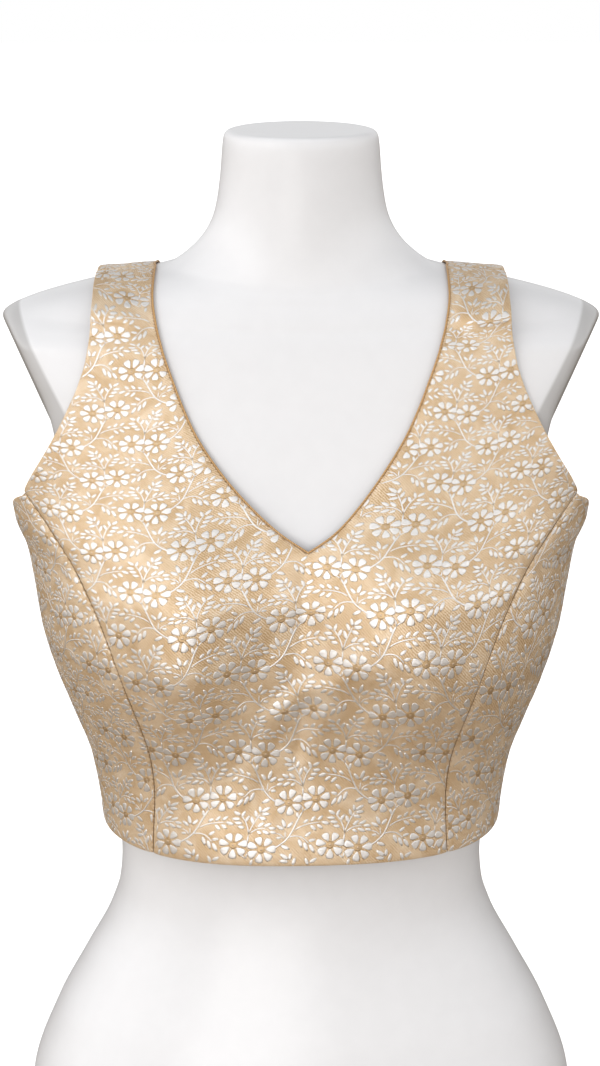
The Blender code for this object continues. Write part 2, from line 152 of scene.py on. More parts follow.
# %% The room and its floor
ROOM_LIGHT = 2.4
ROOM = {                          # how bright the room is from -1 (0 here) to 1 along each axis
    "Z": ((0.0, "665C50"), (0.44, "706456"), (0.54, "FFFFFF"), (0.68, "FFFFFF"), (0.74, "A4A4A4"),
          (1.0, "A4A4A4")),
    "Y": ((0.0, "D6D6D6"), (0.45, "FFFFFF"), (0.9, "A0A0A0")),
    "X": ((0.55, "FFFFFF"), (0.95, "E8E8E8")),
}
FLOOR_LEVEL, FLOOR_CORNERS = -0.0005, ((-6, -3), (6, -3), (6, 9), (-6, 9))       # metres

world = bpy.data.worlds.new("White studio")
scene.world = world
world.use_nodes = True
sky = world.node_tree
direction = add_node(sky, "ShaderNodeTexCoord").outputs["Generated"]
looking = add_node(sky, "ShaderNodeSeparateXYZ", {"Vector": direction}).outputs
shares = []
for axis, stops in ROOM.items():
    along = add_node(sky, "ShaderNodeMapRange", {"Value": looking[axis], "From Min": -1.0, "From Max": 1.0})
    shares.append(add_node(sky, "ShaderNodeValToRGB", {"Fac": along}, stops))
room = shares[0]
for share in shares[1:]:
    room = add_node(sky, "ShaderNodeMix", {"Factor": 1.0, 6: room, 7: share}, data_type="RGBA",
                    blend_type="MULTIPLY")
backdrop = sky.nodes["Background"]
set_sockets(backdrop, {"Color": "FFFFFF", "Strength": 1.0})
shining = add_node(sky, "ShaderNodeBackground", {"Color": room, "Strength": ROOM_LIGHT})
rays = add_node(sky, "ShaderNodeLightPath").outputs["Is Camera Ray"]
both = add_node(sky, "ShaderNodeMixShader", {0: rays, 1: shining, 2: backdrop})
set_sockets(sky.nodes["World Output"], {"Surface": both})

floor_mesh = bpy.data.meshes.new("studio_floor")
floor_mesh.from_pydata([(*corner, FLOOR_LEVEL) for corner in FLOOR_CORNERS], [], [(0, 1, 2, 3)])
floor = bpy.data.objects.new("studio_floor", floor_mesh)
scene.collection.objects.link(floor)
paper, tree, shader = new_finish("White paper floor")
set_sockets(shader, {"Base Color": "F4F4F4", "Roughness": 0.9, "Emission Color": "FFFFFF",
                     "Emission Strength": 0.75})
floor_mesh.materials.append(paper)
floor.visible_diffuse = False
floor.visible_glossy = False
print("the room's light falls off along", list(ROOM))

# %% [markdown]
# Both the form and the blouse are one kind of surface: rings stacked along the body. A ring has a level,
# and an angle runs round it from centre front (0) over the wearer's left (a quarter turn) to centre back
# (a half turn). The rows below say how far each ring reaches to the side, to the front and to the back;
# everything between two rows is a smooth curve. A subdivided cage could give such a body too, but with
# rings each cut edge of the blouse is simply a line drawn in angle and level.

# %% The rings
RING = ("level", "side_z", "front_z", "back_z", "half_width", "front", "back", "hollow", "square")


def level_rows(*rows):
    """Rows of rings that lie level, so that one number gives the level and all three heights."""
    return [(level, level, level, level, *rest) for level, *rest in rows]


def padded(*rows):
    """Rows without a hollow, and not squared, whose last two columns are 0."""
    return [(*row, 0, 0) for row in rows]


FORM_LOWER = [
    (0, 0, 0, 0, 173, 106, 112, 0, 0.03), (3, 2, 2, 2, 176, 109, 115, 0, 0.03),
    (12, 8, 8, 8, 177.5, 110, 116, 0, 0.03),
    *level_rows(
        (60, 180.8, 113, 121, 0, 0.03), (95, 178.2, 112, 120, 0, 0.028), (142, 161.8, 104, 111, 0, 0.025),
        (177, 143.2, 96, 101, 0, 0.022), (211, 125.1, 89.5, 91.5, 0, 0.02), (232, 118.6, 87, 87, 0, 0.02),
        (250, 117.2, 86, 85.5, 0, 0.02), (275, 119, 86.5, 86, 0, 0.02), (310, 125, 90, 89, 2, 0.02),
        (345, 135, 101, 93, 9, 0.02), (380, 148, 123, 96.5, 18, 0.02), (415, 157, 139, 99, 24, 0.02),
        (445, 162, 137, 101.5, 22, 0.02), (475, 171, 124, 103.5, 15, 0.02), (505, 190, 105.5, 104, 7, 0.02)),
]
FORM_SHOULDER = [
    (545, 545, 545, 545, 213, 89, 103, 1, 0.02), (575, 575, 575, 573, 224, 79.5, 99.5, 0, 0.02),
    (596, 591.5, 590, 589, 222, 74.5, 95.5, 0, 0.02), (614, 602, 599, 597, 203, 71, 91, 0, 0.01),
    *padded(
        (632, 609.3, 605, 603.5, 185, 68, 87), (650, 616, 610, 609.5, 168, 66, 83),
        (666, 620.5, 614, 615, 153, 64, 79.5), (690, 626, 619.5, 622.5, 130, 61, 74.5),
        (711, 630, 623.5, 628.5, 110, 59, 70), (727, 633, 627, 634, 95, 57, 66.5),
        (738, 635.5, 630.5, 640, 84.5, 55.5, 63.5)),
]
FORM_NECK = padded(
    (747, 640, 635.5, 646.5, 76.5, 54.3, 60.8), (756, 646, 641.5, 653, 69, 53.4, 58.6),
    (765, 652.5, 648, 659, 62.8, 52.7, 56.9), (775, 661, 657, 666, 57.3, 52.1, 55.4),
    (785, 670, 667, 674.5, 53.8, 51.6, 54.2), (797, 682, 680, 685, 51.5, 51.2, 53.2),
    (812, 697, 696, 698, 49.8, 50.8, 52.2), (827, 712, 712, 712, 48.6, 50.3, 51.2),
    (833, 717.2, 717.2, 717.2, 47.6, 49.3, 50.2), (836, 719.3, 719.3, 719.3, 45.6, 47.4, 48.3),
    (839, 720, 720, 720, 43, 44.9, 45.8))
BLOUSE_BODY = level_rows(
    (278, 128.5, 110, 97, 0, 0.033), (300, 131.8, 112.5, 99, 1.5, 0.03), (325, 136.8, 119, 101, 4, 0.027),
    (350, 146, 130, 104, 9, 0.023), (380, 157.5, 144, 106.5, 15, 0.02), (410, 166, 151, 108, 19, 0.02),
    (445, 171.8, 146, 109.5, 18, 0.02), (461, 175, 138.5, 110.5, 16, 0.02),
    (477, 182.2, 130, 111, 13, 0.02), (491, 187.5, 120.5, 111, 9.5, 0.02), (507, 194, 111, 110.5, 6, 0.02))
FORM = np.array(FORM_LOWER + FORM_SHOULDER + FORM_NECK, float)
print("form rings:", len(FORM), "from", FORM[0, 0], "to", FORM[-1, 0])

# %% From rows of numbers to points
CUP_HALF_SPAN = 88.0


def smooth_rows(levels, rows, at):
    """Columns of a table read at any level, by cubic pieces that never overshoot a row."""
    step = np.diff(levels)[:, None]
    slope = np.diff(rows, axis=0) / step
    before, after = 2 * step[1:] + step[:-1], step[1:] + 2 * step[:-1]
    turning = slope[:-1] * slope[1:] <= 0
    safe = np.where(turning, 1.0, slope[:-1]), np.where(turning, 1.0, slope[1:])
    tangent = np.empty_like(rows)
    tangent[1:-1] = np.where(turning, 0.0, (before + after) / (before / safe[0] + after / safe[1]))
    tangent[0], tangent[-1] = slope[0], slope[-1]
    at = np.clip(np.asarray(at, float), levels[0], levels[-1])
    i = np.clip(np.searchsorted(levels, at, side="right") - 1, 0, len(levels) - 2)
    h = (levels[i + 1] - levels[i])[..., None]
    t = (at - levels[i])[..., None] / h
    return ((1 + 2 * t) * (1 - t) ** 2 * rows[i] + t * (1 - t) ** 2 * h * tangent[i]
            + t * t * (3 - 2 * t) * rows[i + 1] + t * t * (t - 1) * h * tangent[i + 1])


def read_ring(table, level):
    """The ring at a level, as a dict of its columns."""
    columns = np.moveaxis(smooth_rows(table[:, 0], table[:, 1:], level), -1, 0)
    return dict(zip(RING[1:], columns))


def ring_points(table, angle, level):
    """x = w (sin a + s sin 3a) / (1 - s), y the same with cos, less the hollow between the cups."""
    ring = read_ring(table, level)
    fuller = ring["square"]
    across = (np.sin(angle) + fuller * np.sin(3 * angle)) / (1 - fuller)
    along = (np.cos(angle) - fuller * np.cos(3 * angle)) / (1 - fuller)
    x = ring["half_width"] * across
    dip = ring["hollow"] * np.clip(1 - (x / CUP_HALF_SPAN) ** 2, 0, None) ** 2
    in_front = np.cos(angle) > 0
    y = np.where(in_front, dip - ring["front"] * along, -ring["back"] * along)
    end_z = np.where(in_front, ring["front_z"], ring["back_z"])
    z = ring["side_z"] + (end_z - ring["side_z"]) * np.cos(angle) ** 2
    return np.stack([x, y, z], axis=-1)


WAIST_LEVEL = 250.0
print("the form's waist is", round(2 * float(ring_points(FORM, np.pi / 2, WAIST_LEVEL)[0])), "mm wide")

# %% [markdown]
# The form is a moulded shell of gloss plastic, closed everywhere: a flat base to stand on, two smooth
# stumps where the arms are cut off on a slant, and a neck with a softly rounded cap. The stumps come from
# pressing the rings back on to a slanted plane with a soft minimum, which rounds the rim at the same time,
# where a Boolean cut would leave a hard edge to bevel. The rings stand close together where the shell
# turns quickly.

# %% The dress form's shell
# the stump's plane: how far out it is at which height, its slope down and its turn to the back, in mm
# for each mm, and the rounding of the rim where it is reached
STUMP_X, STUMP_Z, STUMP_SLOPE, STUMP_TURN, STUMP_ROUND = 188.5, 606.0, 0.432, 0.19, 19.0
FLANK_X, FLANK_ROUND, PRESS_ABOVE = 150.0, 10.0, 440.0       # nothing is pressed in past the flank
RIMS = (0, 12, 8), (825, 839, 14)                            # levels of the two rounded rims, and rings there
RING_SPACING = (12, 440, 5.0), (440, 560, 3.0), (560, 745, 2.0), (745, 825, 3.0)      # between them, in mm
FORM_SEGMENTS = 224
CROWD_TO_SIDES = 0.12             # how much closer the grid's lines stand at the stumps, in radians
CAP_SHARES = np.linspace(0.2, 0.97, 5)[:, None, None]
SHARP = np.radians(40)            # an edge bent by more than this stays crisp
# where grey is painted on the arm ends as painted shade: the lean of a plane, how far beyond it and how far
# up, as soft limits
STUMP_SHADE_LEAN, STUMP_SHADE_BEYOND, STUMP_SHADE_ABOVE = 0.55, (-0.162, -0.1595), (0.46, 0.462)      # metres, soft limits


def soft_min(a, b, blend):
    """The smaller of two values, rounded over where they are within the blend of each other."""
    h = np.clip(0.5 + 0.5 * (b - a) / blend, 0, 1)
    return b * (1 - h) + a * h - blend * h * (1 - h)


def form_points(angle, level):
    """The form's rings, with all that lies past the stump's plane or the flank pressed back on to it."""
    x, y, z = np.moveaxis(ring_points(FORM, angle, level), -1, 0)
    plane = STUMP_X - STUMP_SLOPE * (STUMP_Z - z) + STUMP_TURN * y
    limit = -soft_min(-plane, -np.full_like(plane, FLANK_X), FLANK_ROUND)
    pressed = soft_min(np.abs(x), limit, STUMP_ROUND)
    x = np.where(z > PRESS_ABOVE, np.sign(x) * pressed, x)
    return np.stack([x, y, z], axis=-1)


def add_piece(name, points, faces, finishes):
    """A smooth mesh object from points in millimetres and arrays of faces, with its finishes."""
    mesh = bpy.data.meshes.new(name)
    points = np.reshape(points, (-1, 3)) * MM
    sizes = np.concatenate([np.full(len(f), f.shape[1]) for f in faces])
    corners = np.concatenate([f.ravel() for f in faces])
    mesh.vertices.add(len(points))
    mesh.vertices.foreach_set("co", points.ravel().astype(np.float32))
    mesh.loops.add(len(corners))
    mesh.loops.foreach_set("vertex_index", corners.astype(np.int32))
    mesh.polygons.add(len(sizes))
    mesh.polygons.foreach_set("loop_start", (np.cumsum(sizes) - sizes).astype(np.int32))
    mesh.update(calc_edges=True)
    mesh.shade_smooth()
    made = bpy.data.objects.new(name, mesh)
    scene.collection.objects.link(made)
    for finish in finishes:
        mesh.materials.append(finish)
    return made


def grid_faces(index):
    """Four-sided faces between the rows and columns of a grid of point numbers."""
    corners = index[:-1, :-1], index[:-1, 1:], index[1:, 1:], index[1:, :-1]
    return np.stack(corners, axis=-1).reshape(-1, 4)


def closed_rings(rings, ends=None):
    """A tube of rings (rings x segments x 3) closed at each end on a point, or else on its ring's middle."""
    rows, segments = rings.shape[:2]
    index = np.arange(rows * segments).reshape(rows, segments)
    beside = np.roll(index, -1, axis=1)
    low, high = np.full(segments, rows * segments), np.full(segments, rows * segments + 1)
    fans = np.concatenate([np.stack([beside[0], index[0], low], axis=-1),
                           np.stack([index[-1], beside[-1], high], axis=-1)])
    ends = [rings[0].mean(0), rings[-1].mean(0)] if ends is None else ends
    points = np.concatenate([rings.reshape(-1, 3), ends])
    return points, [grid_faces(np.column_stack([index, index[:, 0]])), fans]


def form_rings():
    """All rings, then a few smaller and smaller ones across the base and the neck's cap."""
    levels = np.unique(np.concatenate([np.linspace(*rim) for rim in RIMS]
                                      + [np.arange(*span) for span in RING_SPACING]))
    turn = np.linspace(0, 2 * np.pi, FORM_SEGMENTS, endpoint=False)
    angle = turn + CROWD_TO_SIDES * np.sin(2 * turn)
    body = form_points(*np.meshgrid(angle, levels))
    base = body[0].mean(0) + (body[0] - body[0].mean(0)) * CAP_SHARES
    cap = body[-1].mean(0) + (body[-1] - body[-1].mean(0)) * CAP_SHARES[::-1]
    return np.concatenate([base, body, cap])


plastic, tree, shader = new_finish("Moulded gloss white plastic")
# Polystyrene with a sprayed white gloss: a clear soft reflection of the lamps, with the faint unevenness
# that a spray leaves, about 12 mm across, which keeps the highlights from looking drawn with a ruler.
place = add_node(tree, "ShaderNodeTexCoord").outputs["Object"]
spray = add_node(tree, "ShaderNodeTexNoise", {"Vector": place, "Scale": 85.0, "Detail": 3.0})
tint = add_node(tree, "ShaderNodeValToRGB", {"Fac": spray}, [(0.3, "E5E5E7"), (0.7, "E7E7E9")])
gloss = add_node(tree, "ShaderNodeMapRange", {"Value": spray, "To Min": 0.27, "To Max": 0.31})
uneven = add_node(tree, "ShaderNodeBump", {"Height": spray, "Strength": 0.004, "Distance": 0.001})
# painted shade: each arm's end face is painted grey, all above a level that lies beyond a plane leaning over
# the stump
where = add_node(tree, "ShaderNodeSeparateXYZ", {"Vector": place}).outputs
sideways = add_node(tree, "ShaderNodeMath", {0: where["X"]}, operation="ABSOLUTE")
lean = add_node(tree, "ShaderNodeMath", {0: where["Z"], 1: -STUMP_SHADE_LEAN, 2: sideways}, operation="MULTIPLY_ADD")
beyond, above = (add_node(tree, "ShaderNodeMapRange", {"Value": at, "From Min": low, "From Max": high})
                 for at, (low, high) in ((lean, STUMP_SHADE_BEYOND), (where["Z"], STUMP_SHADE_ABOVE)))
stump_painted_shade = add_node(tree, "ShaderNodeMath", {0: beyond, 1: above}, operation="MULTIPLY")
tint_and_stump_shade = add_node(tree, "ShaderNodeMix", {"Factor": stump_painted_shade, 6: tint, 7: "C0BFBF"}, data_type="RGBA")
set_sockets(shader, {"Base Color": tint_and_stump_shade, "Roughness": gloss, "Normal": uneven, "IOR": 1.5})

form = add_piece("dress_form_shell", *closed_rings(form_rings()), [plastic])
form.data.set_sharp_from_angle(angle=SHARP)
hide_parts("dress_form")
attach(form, "root")
print("form shell:", len(form.data.polygons), "faces")

# %% [markdown]
# The blouse's own rings fit closely under the arms and round the waist, stand clear of the body between
# and under the cups, and lie on the shoulders. Each cut edge is a short table of how far it is from the
# middle of the body at a level. Drawing the edges this way, and not as a pattern that is then draped,
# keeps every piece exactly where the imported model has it, with its seams 0.3 mm apart.

# %% The blouse's surface and its cut edges
WALL, SEAM_GAP = 1.5, 0.3
EASE_ON_CHEST, EASE_ON_RIDGE = 2.6, 0.7
ENDS_LIFT = 0.4                   # a ring's front and back rise by this share of what its sides do
ROLL_DIAMETER = 1.2
RIDGE_FROM, RIDGE_TO = 545.0, 635.0
RIDGE_ROW = 4                     # the shoulder ring at which the straps' ends begin
HEM_LEVEL, UNDERARM_LEVEL = 278.0, 481.0
SCOOP_RISE, SCOOP_DEGREES, SCOOP_POWER = 22.0, 39.0, 4
BACK_NECK_LEVEL, BACK_NECK_ROUND = 566.0, 2.6
STRAP_INNER, STRAP_OUTER = 90.5, 127.3
PLACKET_HALF, PLACKET_FLAT, PLACKET_RAMP = 9.0, 22.0, 24.0
LAP_RISE = WALL + 0.9             # the upper back lies over the under one, with a little air between
FRONT_NECK = {
    "level": (482.5, 492, 503, 526, 549, 572.5, 601.5, 641, 700),
    "half_breadth": (0, 15.5, 28.5, 49.5, 65, 75.6, 83.3, 88, 90.5),
}
FRONT_ARMHOLE = {
    "level": (519, 532, 551, 570, 590, 618, 661, 685),
    "half_breadth": (164, 156.2, 145.7, 136.6, 131, 128, 126.8, 127),
}
BACK_ARMHOLE = {
    "level": (508, 519, 532, 551, 570, 590, 618, 661, 685),
    "half_breadth": (152, 147.5, 143.5, 138.5, 135, 132, 129, 127.4, 127.1),
}
PRINCESS_SEAM = {
    "level": (278, 307, 336, 366, 393, 418.5, 441, 462.5, 483.5, 502.6),
    "half_breadth": (91.5, 91.5, 94.2, 100.9, 108.5, 116.6, 126, 138.4, 154.4, 171.5),
}


def lifted(rows):
    """Shoulder rings moved off the form: forwards and backwards all the way, and upwards on the ridge."""
    rows = np.array(rows, float)
    ridge = np.clip((rows[:, 0] - RIDGE_FROM) / (RIDGE_TO - RIDGE_FROM), 0, 1)
    rows[:, 5:7] += WALL + EASE_ON_CHEST
    rows[:, 1] += (WALL + EASE_ON_RIDGE) * ridge
    rows[:, 2:4] += ENDS_LIFT * (WALL + EASE_ON_RIDGE) * ridge[:, None]
    return rows


BLOUSE = np.vstack([BLOUSE_BODY, lifted(FORM_SHOULDER)])
print("blouse rings:", len(BLOUSE), "from", BLOUSE[0, 0], "to", BLOUSE[-1, 0])

# %% Edges drawn in angle and level
FINE = 200                        # points along an edge before it is divided
HALVINGS = 40
RIDGE_SAMPLES = 400


def chords(points, axis=0):
    """Length run so far along one axis of a grid of points, from 0."""
    steps = np.linalg.norm(np.diff(points, axis=axis), axis=-1)
    return np.insert(np.cumsum(steps, axis=axis), 0, 0, axis=axis)


def angle_at(half_breadth, level):
    """The angle at which a blouse ring is that far from the middle, by halving."""
    ring = read_ring(BLOUSE, level)
    wanted = np.abs(half_breadth) / ring["half_width"] * (1 - ring["square"])
    low, high = np.zeros_like(wanted), np.full_like(wanted, np.pi / 2)
    for _ in range(HALVINGS):
        middle = (low + high) / 2
        short = np.sin(middle) + ring["square"] * np.sin(3 * middle) < wanted
        low, high = np.where(short, middle, low), np.where(short, high, middle)
    return np.sign(half_breadth) * (low + high) / 2


def ridge_level(half_breadth):
    """The level whose ring is that wide, where a strap's edge reaches the shoulder seam."""
    levels = np.linspace(FORM_SHOULDER[RIDGE_ROW][0], FORM_SHOULDER[-1][0], RIDGE_SAMPLES)
    return np.interp(-half_breadth, -read_ring(BLOUSE, levels)["half_width"], levels)


def edge_run(curve):
    """Length run so far along an (angle, level) curve, as measured on the blouse."""
    return chords(ring_points(BLOUSE, curve[:, 0], curve[:, 1]))


def at_runs(curve, run, at):
    """Points of a curve at some lengths along it."""
    return np.stack([np.interp(at, run, curve[:, 0]), np.interp(at, run, curve[:, 1])], axis=-1)


def divided(curve, shares):
    """An (angle, level) curve cut at shares of its length."""
    run = edge_run(curve)
    return at_runs(curve, run, np.asarray(shares) * run[-1])


def raised_start(curve, by):
    """A curve begun a little further on, by a true width."""
    run = edge_run(curve)
    return np.concatenate([at_runs(curve, run, [by]), curve[run > by]])


def lowered_end(curve, by):
    """A curve ended a little earlier, by a true width."""
    return raised_start(curve[::-1], by)[::-1]


def edge_points(levels, breadths, level):
    """(angle, level) of an edge that is given by its half breadths at a few levels."""
    x = smooth_rows(levels, breadths[:, None], level)[:, 0]
    return np.stack([angle_at(x, level), level], axis=-1)


def by_table(table, shoulder_breadth, start=None):
    """An edge given as half breadths, carried on to the shoulder seam at a quarter turn. Its points
    crowd towards the top: the level rises as 1 - (1 - t)^2."""
    top = ridge_level(shoulder_breadth)
    levels = np.append(table["level"], top)
    level = levels[0] + (top - levels[0]) * (1 - (1 - np.linspace(0, 1, FINE)) ** 2)
    curve = edge_points(levels, np.append(table["half_breadth"], shoulder_breadth), level)
    curve[-1] = np.pi / 2, top
    return curve if start is None else np.concatenate([start, curve])


def scoop():
    """The back's underarm: level rises by a power of the angle away from the side seam."""
    share = np.linspace(0, 1, FINE // 2)
    angle = np.pi / 2 - np.radians(SCOOP_DEGREES) * share
    return np.stack([angle, UNDERARM_LEVEL + SCOOP_RISE * share ** SCOOP_POWER], axis=-1)


def princess_seam():
    """The seam over the cup, from the hem to the armhole."""
    levels, breadths = np.array(PRINCESS_SEAM["level"]), np.array(PRINCESS_SEAM["half_breadth"])
    return edge_points(levels, breadths, np.linspace(levels[0], levels[-1], FINE))


def upright(angle_of, low, high):
    """A line up the body whose angle is a function of the level."""
    level = np.linspace(low, high, FINE)
    return np.stack([angle_of(level), level], axis=-1)


def quarter_turn(level):
    """The angle of the side seam, the same at every level."""
    return np.full_like(level, np.pi / 2)


def to_back(curve):
    """The same edge on the back, as far behind the side seam as it was before it."""
    return np.stack([np.pi - curve[:, 0], curve[:, 1]], axis=-1)


def back_neck(lap):
    """A quarter superellipse from the low middle of the back, or from lap past it, up to the shoulder."""
    top = ridge_level(STRAP_INNER)
    start = -lap / STRAP_INNER
    reach = 1 - (1 - start) * np.linspace(1, 0, FINE) ** 2
    drop = (1 - np.abs(reach) ** BACK_NECK_ROUND) ** (1 / BACK_NECK_ROUND)
    level = top - (top - BACK_NECK_LEVEL) * drop
    curve = np.stack([angle_at(STRAP_INNER * reach, level), level], axis=-1)
    curve[-1] = np.pi / 2, top
    return to_back(curve)


print("princess seam", round(float(edge_run(princess_seam())[-1])), "mm long")

# %% Moving an edge sideways by a true width
def unit(vectors):
    """Vectors brought to length 1."""
    return vectors / np.linalg.norm(vectors, axis=-1, keepdims=True)


def surface_at(places):
    """Points at (angle, level), how the surface runs there by each of them, and its outward normal."""
    nudge = 1e-4

    def at(turn, climb):
        return ring_points(BLOUSE, places[..., 0] + turn, places[..., 1] + climb)

    by_angle = (at(nudge, 0) - at(-nudge, 0)) / (2 * nudge)
    by_level = (at(0, nudge) - at(0, -nudge)) / (2 * nudge)
    return at(0, 0), by_angle, by_level, unit(np.cross(by_angle, by_level))


def inset(curve, width):
    """An edge moved sideways in the surface by a true width, to the right of its way when seen from
    outside. The surface's two slopes turn the move into a change of angle and level."""
    here, by_angle, by_level, out = surface_at(curve)
    aside = np.cross(np.gradient(here, axis=0), out)
    aside *= width / np.linalg.norm(aside, axis=-1, keepdims=True)
    change = np.linalg.pinv(np.stack([by_angle, by_level], axis=-1)) @ aside[:, :, None]
    return curve + change[:, :, 0]


def front_neck(width):
    """The V's edge on the wearer's left, inset by a width and begun exactly on the middle."""
    curve = by_table(FRONT_NECK, STRAP_INNER)
    curve = inset(np.concatenate([[2 * curve[0] - curve[3]], curve]), width)
    start = [0.0, np.interp(0.0, curve[:, 0], curve[:, 1])]
    return np.concatenate([[start], curve[curve[:, 0] > 0]])


HALF_DEGREES = 720                # in a whole turn, to measure the hem by
whole_turn = np.linspace(0, 2 * np.pi, HALF_DEGREES + 1)
hem = np.stack([whole_turn, np.full_like(whole_turn, HEM_LEVEL)], axis=-1)
print("hem girth", round(float(edge_run(hem)[-1])), "mm")

# %% [markdown]
# Each cut piece is a grid stretched between two of those edges. The grid stops a little short of the real
# edge all round, and a half circle of cloth carries on from its outer face round to its inner face: that
# is how a turned and pressed edge looks, soft and about 1.5 mm thick. Columns and rows crowd a little
# towards the seams, where the cloth dips.

# %% Grids of the cut pieces
HALF_GAP = SEAM_GAP / 2
EDGE_ROUND = WALL / 2             # radius of a turned edge
CROWDING = 0.45                   # how much closer the grid's lines stand at the seams


def crowded(count):
    """Shares from 0 to 1 in count steps, t - c sin(2 pi t) / 2 pi, closer together at both ends."""
    t = np.linspace(0, 1, count + 1)
    return t - CROWDING * np.sin(2 * np.pi * t) / (2 * np.pi)


def half_crowded(count, at_start):
    """The same with only one crowded end."""
    whole = crowded(2 * count)
    return 2 * whole[:count + 1] if at_start else 2 * whole[count:] - 1


def joined(first, second):
    """One line of points from two that share a point."""
    return np.concatenate([first, second[1:]])


def between(first, last, shares):
    """Grid of (angle, level) whose rows run straight from one edge to the other."""
    u = np.reshape(shares, (1, -1, 1))
    return first[:, None] * (1 - u) + last[:, None] * u


SEAM_IN = HALF_GAP + EDGE_ROUND   # from a seam's line to where a piece's flat cloth ends
BEHIND_ROLL = 0.15                # mm by which the cloth's edge is tucked in behind the neck's roll
NECK_IN = ROLL_DIAMETER + EDGE_ROUND - BEHIND_ROLL
LOW_ROWS, HIGH_ROWS = 112, 104
FRONT_COLUMNS, SIDE_COLUMNS, BACK_COLUMNS = 54, 34, 48
LAP_BREAK, LAP_ROWS = 462.0, 36
CORNER_STEP, SIDE_STEP = 2.0, 0.01               # the armhole goes on this far past a seam: mm up, radians
SIDE_SCOOP_POWER = 1.25           # how quickly the side front's top edge climbs to the armhole
SIDE_CLIMB_POWER = 3              # and how quickly that climb dies away in the rows below


def front_grid():
    """The wearer's left half of the front, from the fold at the middle to the seam and the armhole."""
    neck = lowered_end(front_neck(NECK_IN), SEAM_IN)
    middle = raised_start(upright(np.zeros_like, HEM_LEVEL, neck[0, 1]), EDGE_ROUND)
    seam = inset(raised_start(princess_seam(), EDGE_ROUND), -SEAM_IN)
    armhole = by_table(FRONT_ARMHOLE, STRAP_OUTER)
    armhole = lowered_end(inset(np.concatenate([princess_seam()[-1:], armhole]), -EDGE_ROUND), SEAM_IN)
    corner = seam[-1:]
    armhole = np.concatenate([corner, armhole[armhole[:, 1] > corner[0, 1] + CORNER_STEP]])
    low, high = half_crowded(LOW_ROWS, True), half_crowded(HIGH_ROWS, False)
    inner = joined(divided(middle, low), divided(neck, high))
    outer = joined(divided(seam, low), divided(armhole, high))
    return between(inner, outer, crowded(FRONT_COLUMNS))


def side_front_grid():
    """The top row follows the underarm scoop; rows below it straighten towards the hem."""
    seam = inset(raised_start(princess_seam(), EDGE_ROUND), SEAM_IN)
    side = inset(raised_start(upright(quarter_turn, HEM_LEVEL, UNDERARM_LEVEL), EDGE_ROUND), -SEAM_IN)
    seam = seam[seam[:, 1] < seam[-1, 1] - EDGE_ROUND]
    side = side[side[:, 1] < side[-1, 1] - EDGE_ROUND]
    rows = crowded(LOW_ROWS)
    grid = between(divided(seam, rows), divided(side, rows), crowded(SIDE_COLUMNS))
    away = np.pi / 2 - grid[-1, :, 0]
    scooped = side[-1, 1] + (grid[-1, 0, 1] - side[-1, 1]) * (away / away[0]) ** SIDE_SCOOP_POWER
    climb = ((grid[:, :1, 1] - HEM_LEVEL) / (grid[-1, 0, 1] - HEM_LEVEL)) ** SIDE_CLIMB_POWER
    grid[..., 1] += (scooped - grid[-1, :, 1]) * climb
    return grid


def back_grid():
    """The wearer's left back, from the side seam to the lap past the middle. The row that ends at the
    underarm meets the lap well below the neck, so that the rows above it fan out along the scoop."""
    lap_half = PLACKET_HALF - EDGE_ROUND
    neck = lowered_end(inset(back_neck(lap_half), -NECK_IN), SEAM_IN)
    lap, lap_end = (upright(lambda z: np.pi + angle_at(np.full_like(z, lap_half), z), *ends)
                    for ends in ((HEM_LEVEL, LAP_BREAK), (LAP_BREAK, neck[0, 1])))
    side = inset(upright(quarter_turn, HEM_LEVEL, UNDERARM_LEVEL - EDGE_ROUND), SEAM_IN)
    armhole = inset(to_back(by_table(BACK_ARMHOLE, STRAP_OUTER, start=scoop())), EDGE_ROUND)
    armhole = np.concatenate([side[-1:], armhole[armhole[:, 0] > side[-1, 0] + SIDE_STEP]])
    low, high = half_crowded(LOW_ROWS, True), half_crowded(HIGH_ROWS, False)
    above_lap = joined(divided(lap_end, np.linspace(0, 1, LAP_ROWS + 1)),
                       divided(neck, half_crowded(HIGH_ROWS - LAP_ROWS, False)))
    inner = joined(divided(raised_start(lap, EDGE_ROUND), low), above_lap)
    outer = joined(divided(raised_start(side, EDGE_ROUND), low), divided(lowered_end(armhole, SEAM_IN), high))
    return between(outer, inner, crowded(BACK_COLUMNS))


def mirrored_places(grid):
    """(angle, level) of the wearer's other side, its columns still running to the wearer's left."""
    return grid[:, ::-1] * (-1, 1)


print("rows and columns: front", front_grid().shape[:2], "side front", side_front_grid().shape[:2],
      "back", back_grid().shape[:2])

# %% [markdown]
# Brocade is woven flat, so its pattern runs along the cloth and not along the room: every grid point gets
# its place in the fabric, measured along the cloth from the middle and up from the hem. The weaver's
# repeat is 59.8 mm wide and 60 mm high. On the body it stretches a little at the hem, draws in on the
# straps, and its rows climb slightly to the wearer's left above the waist, as bias cloth does.

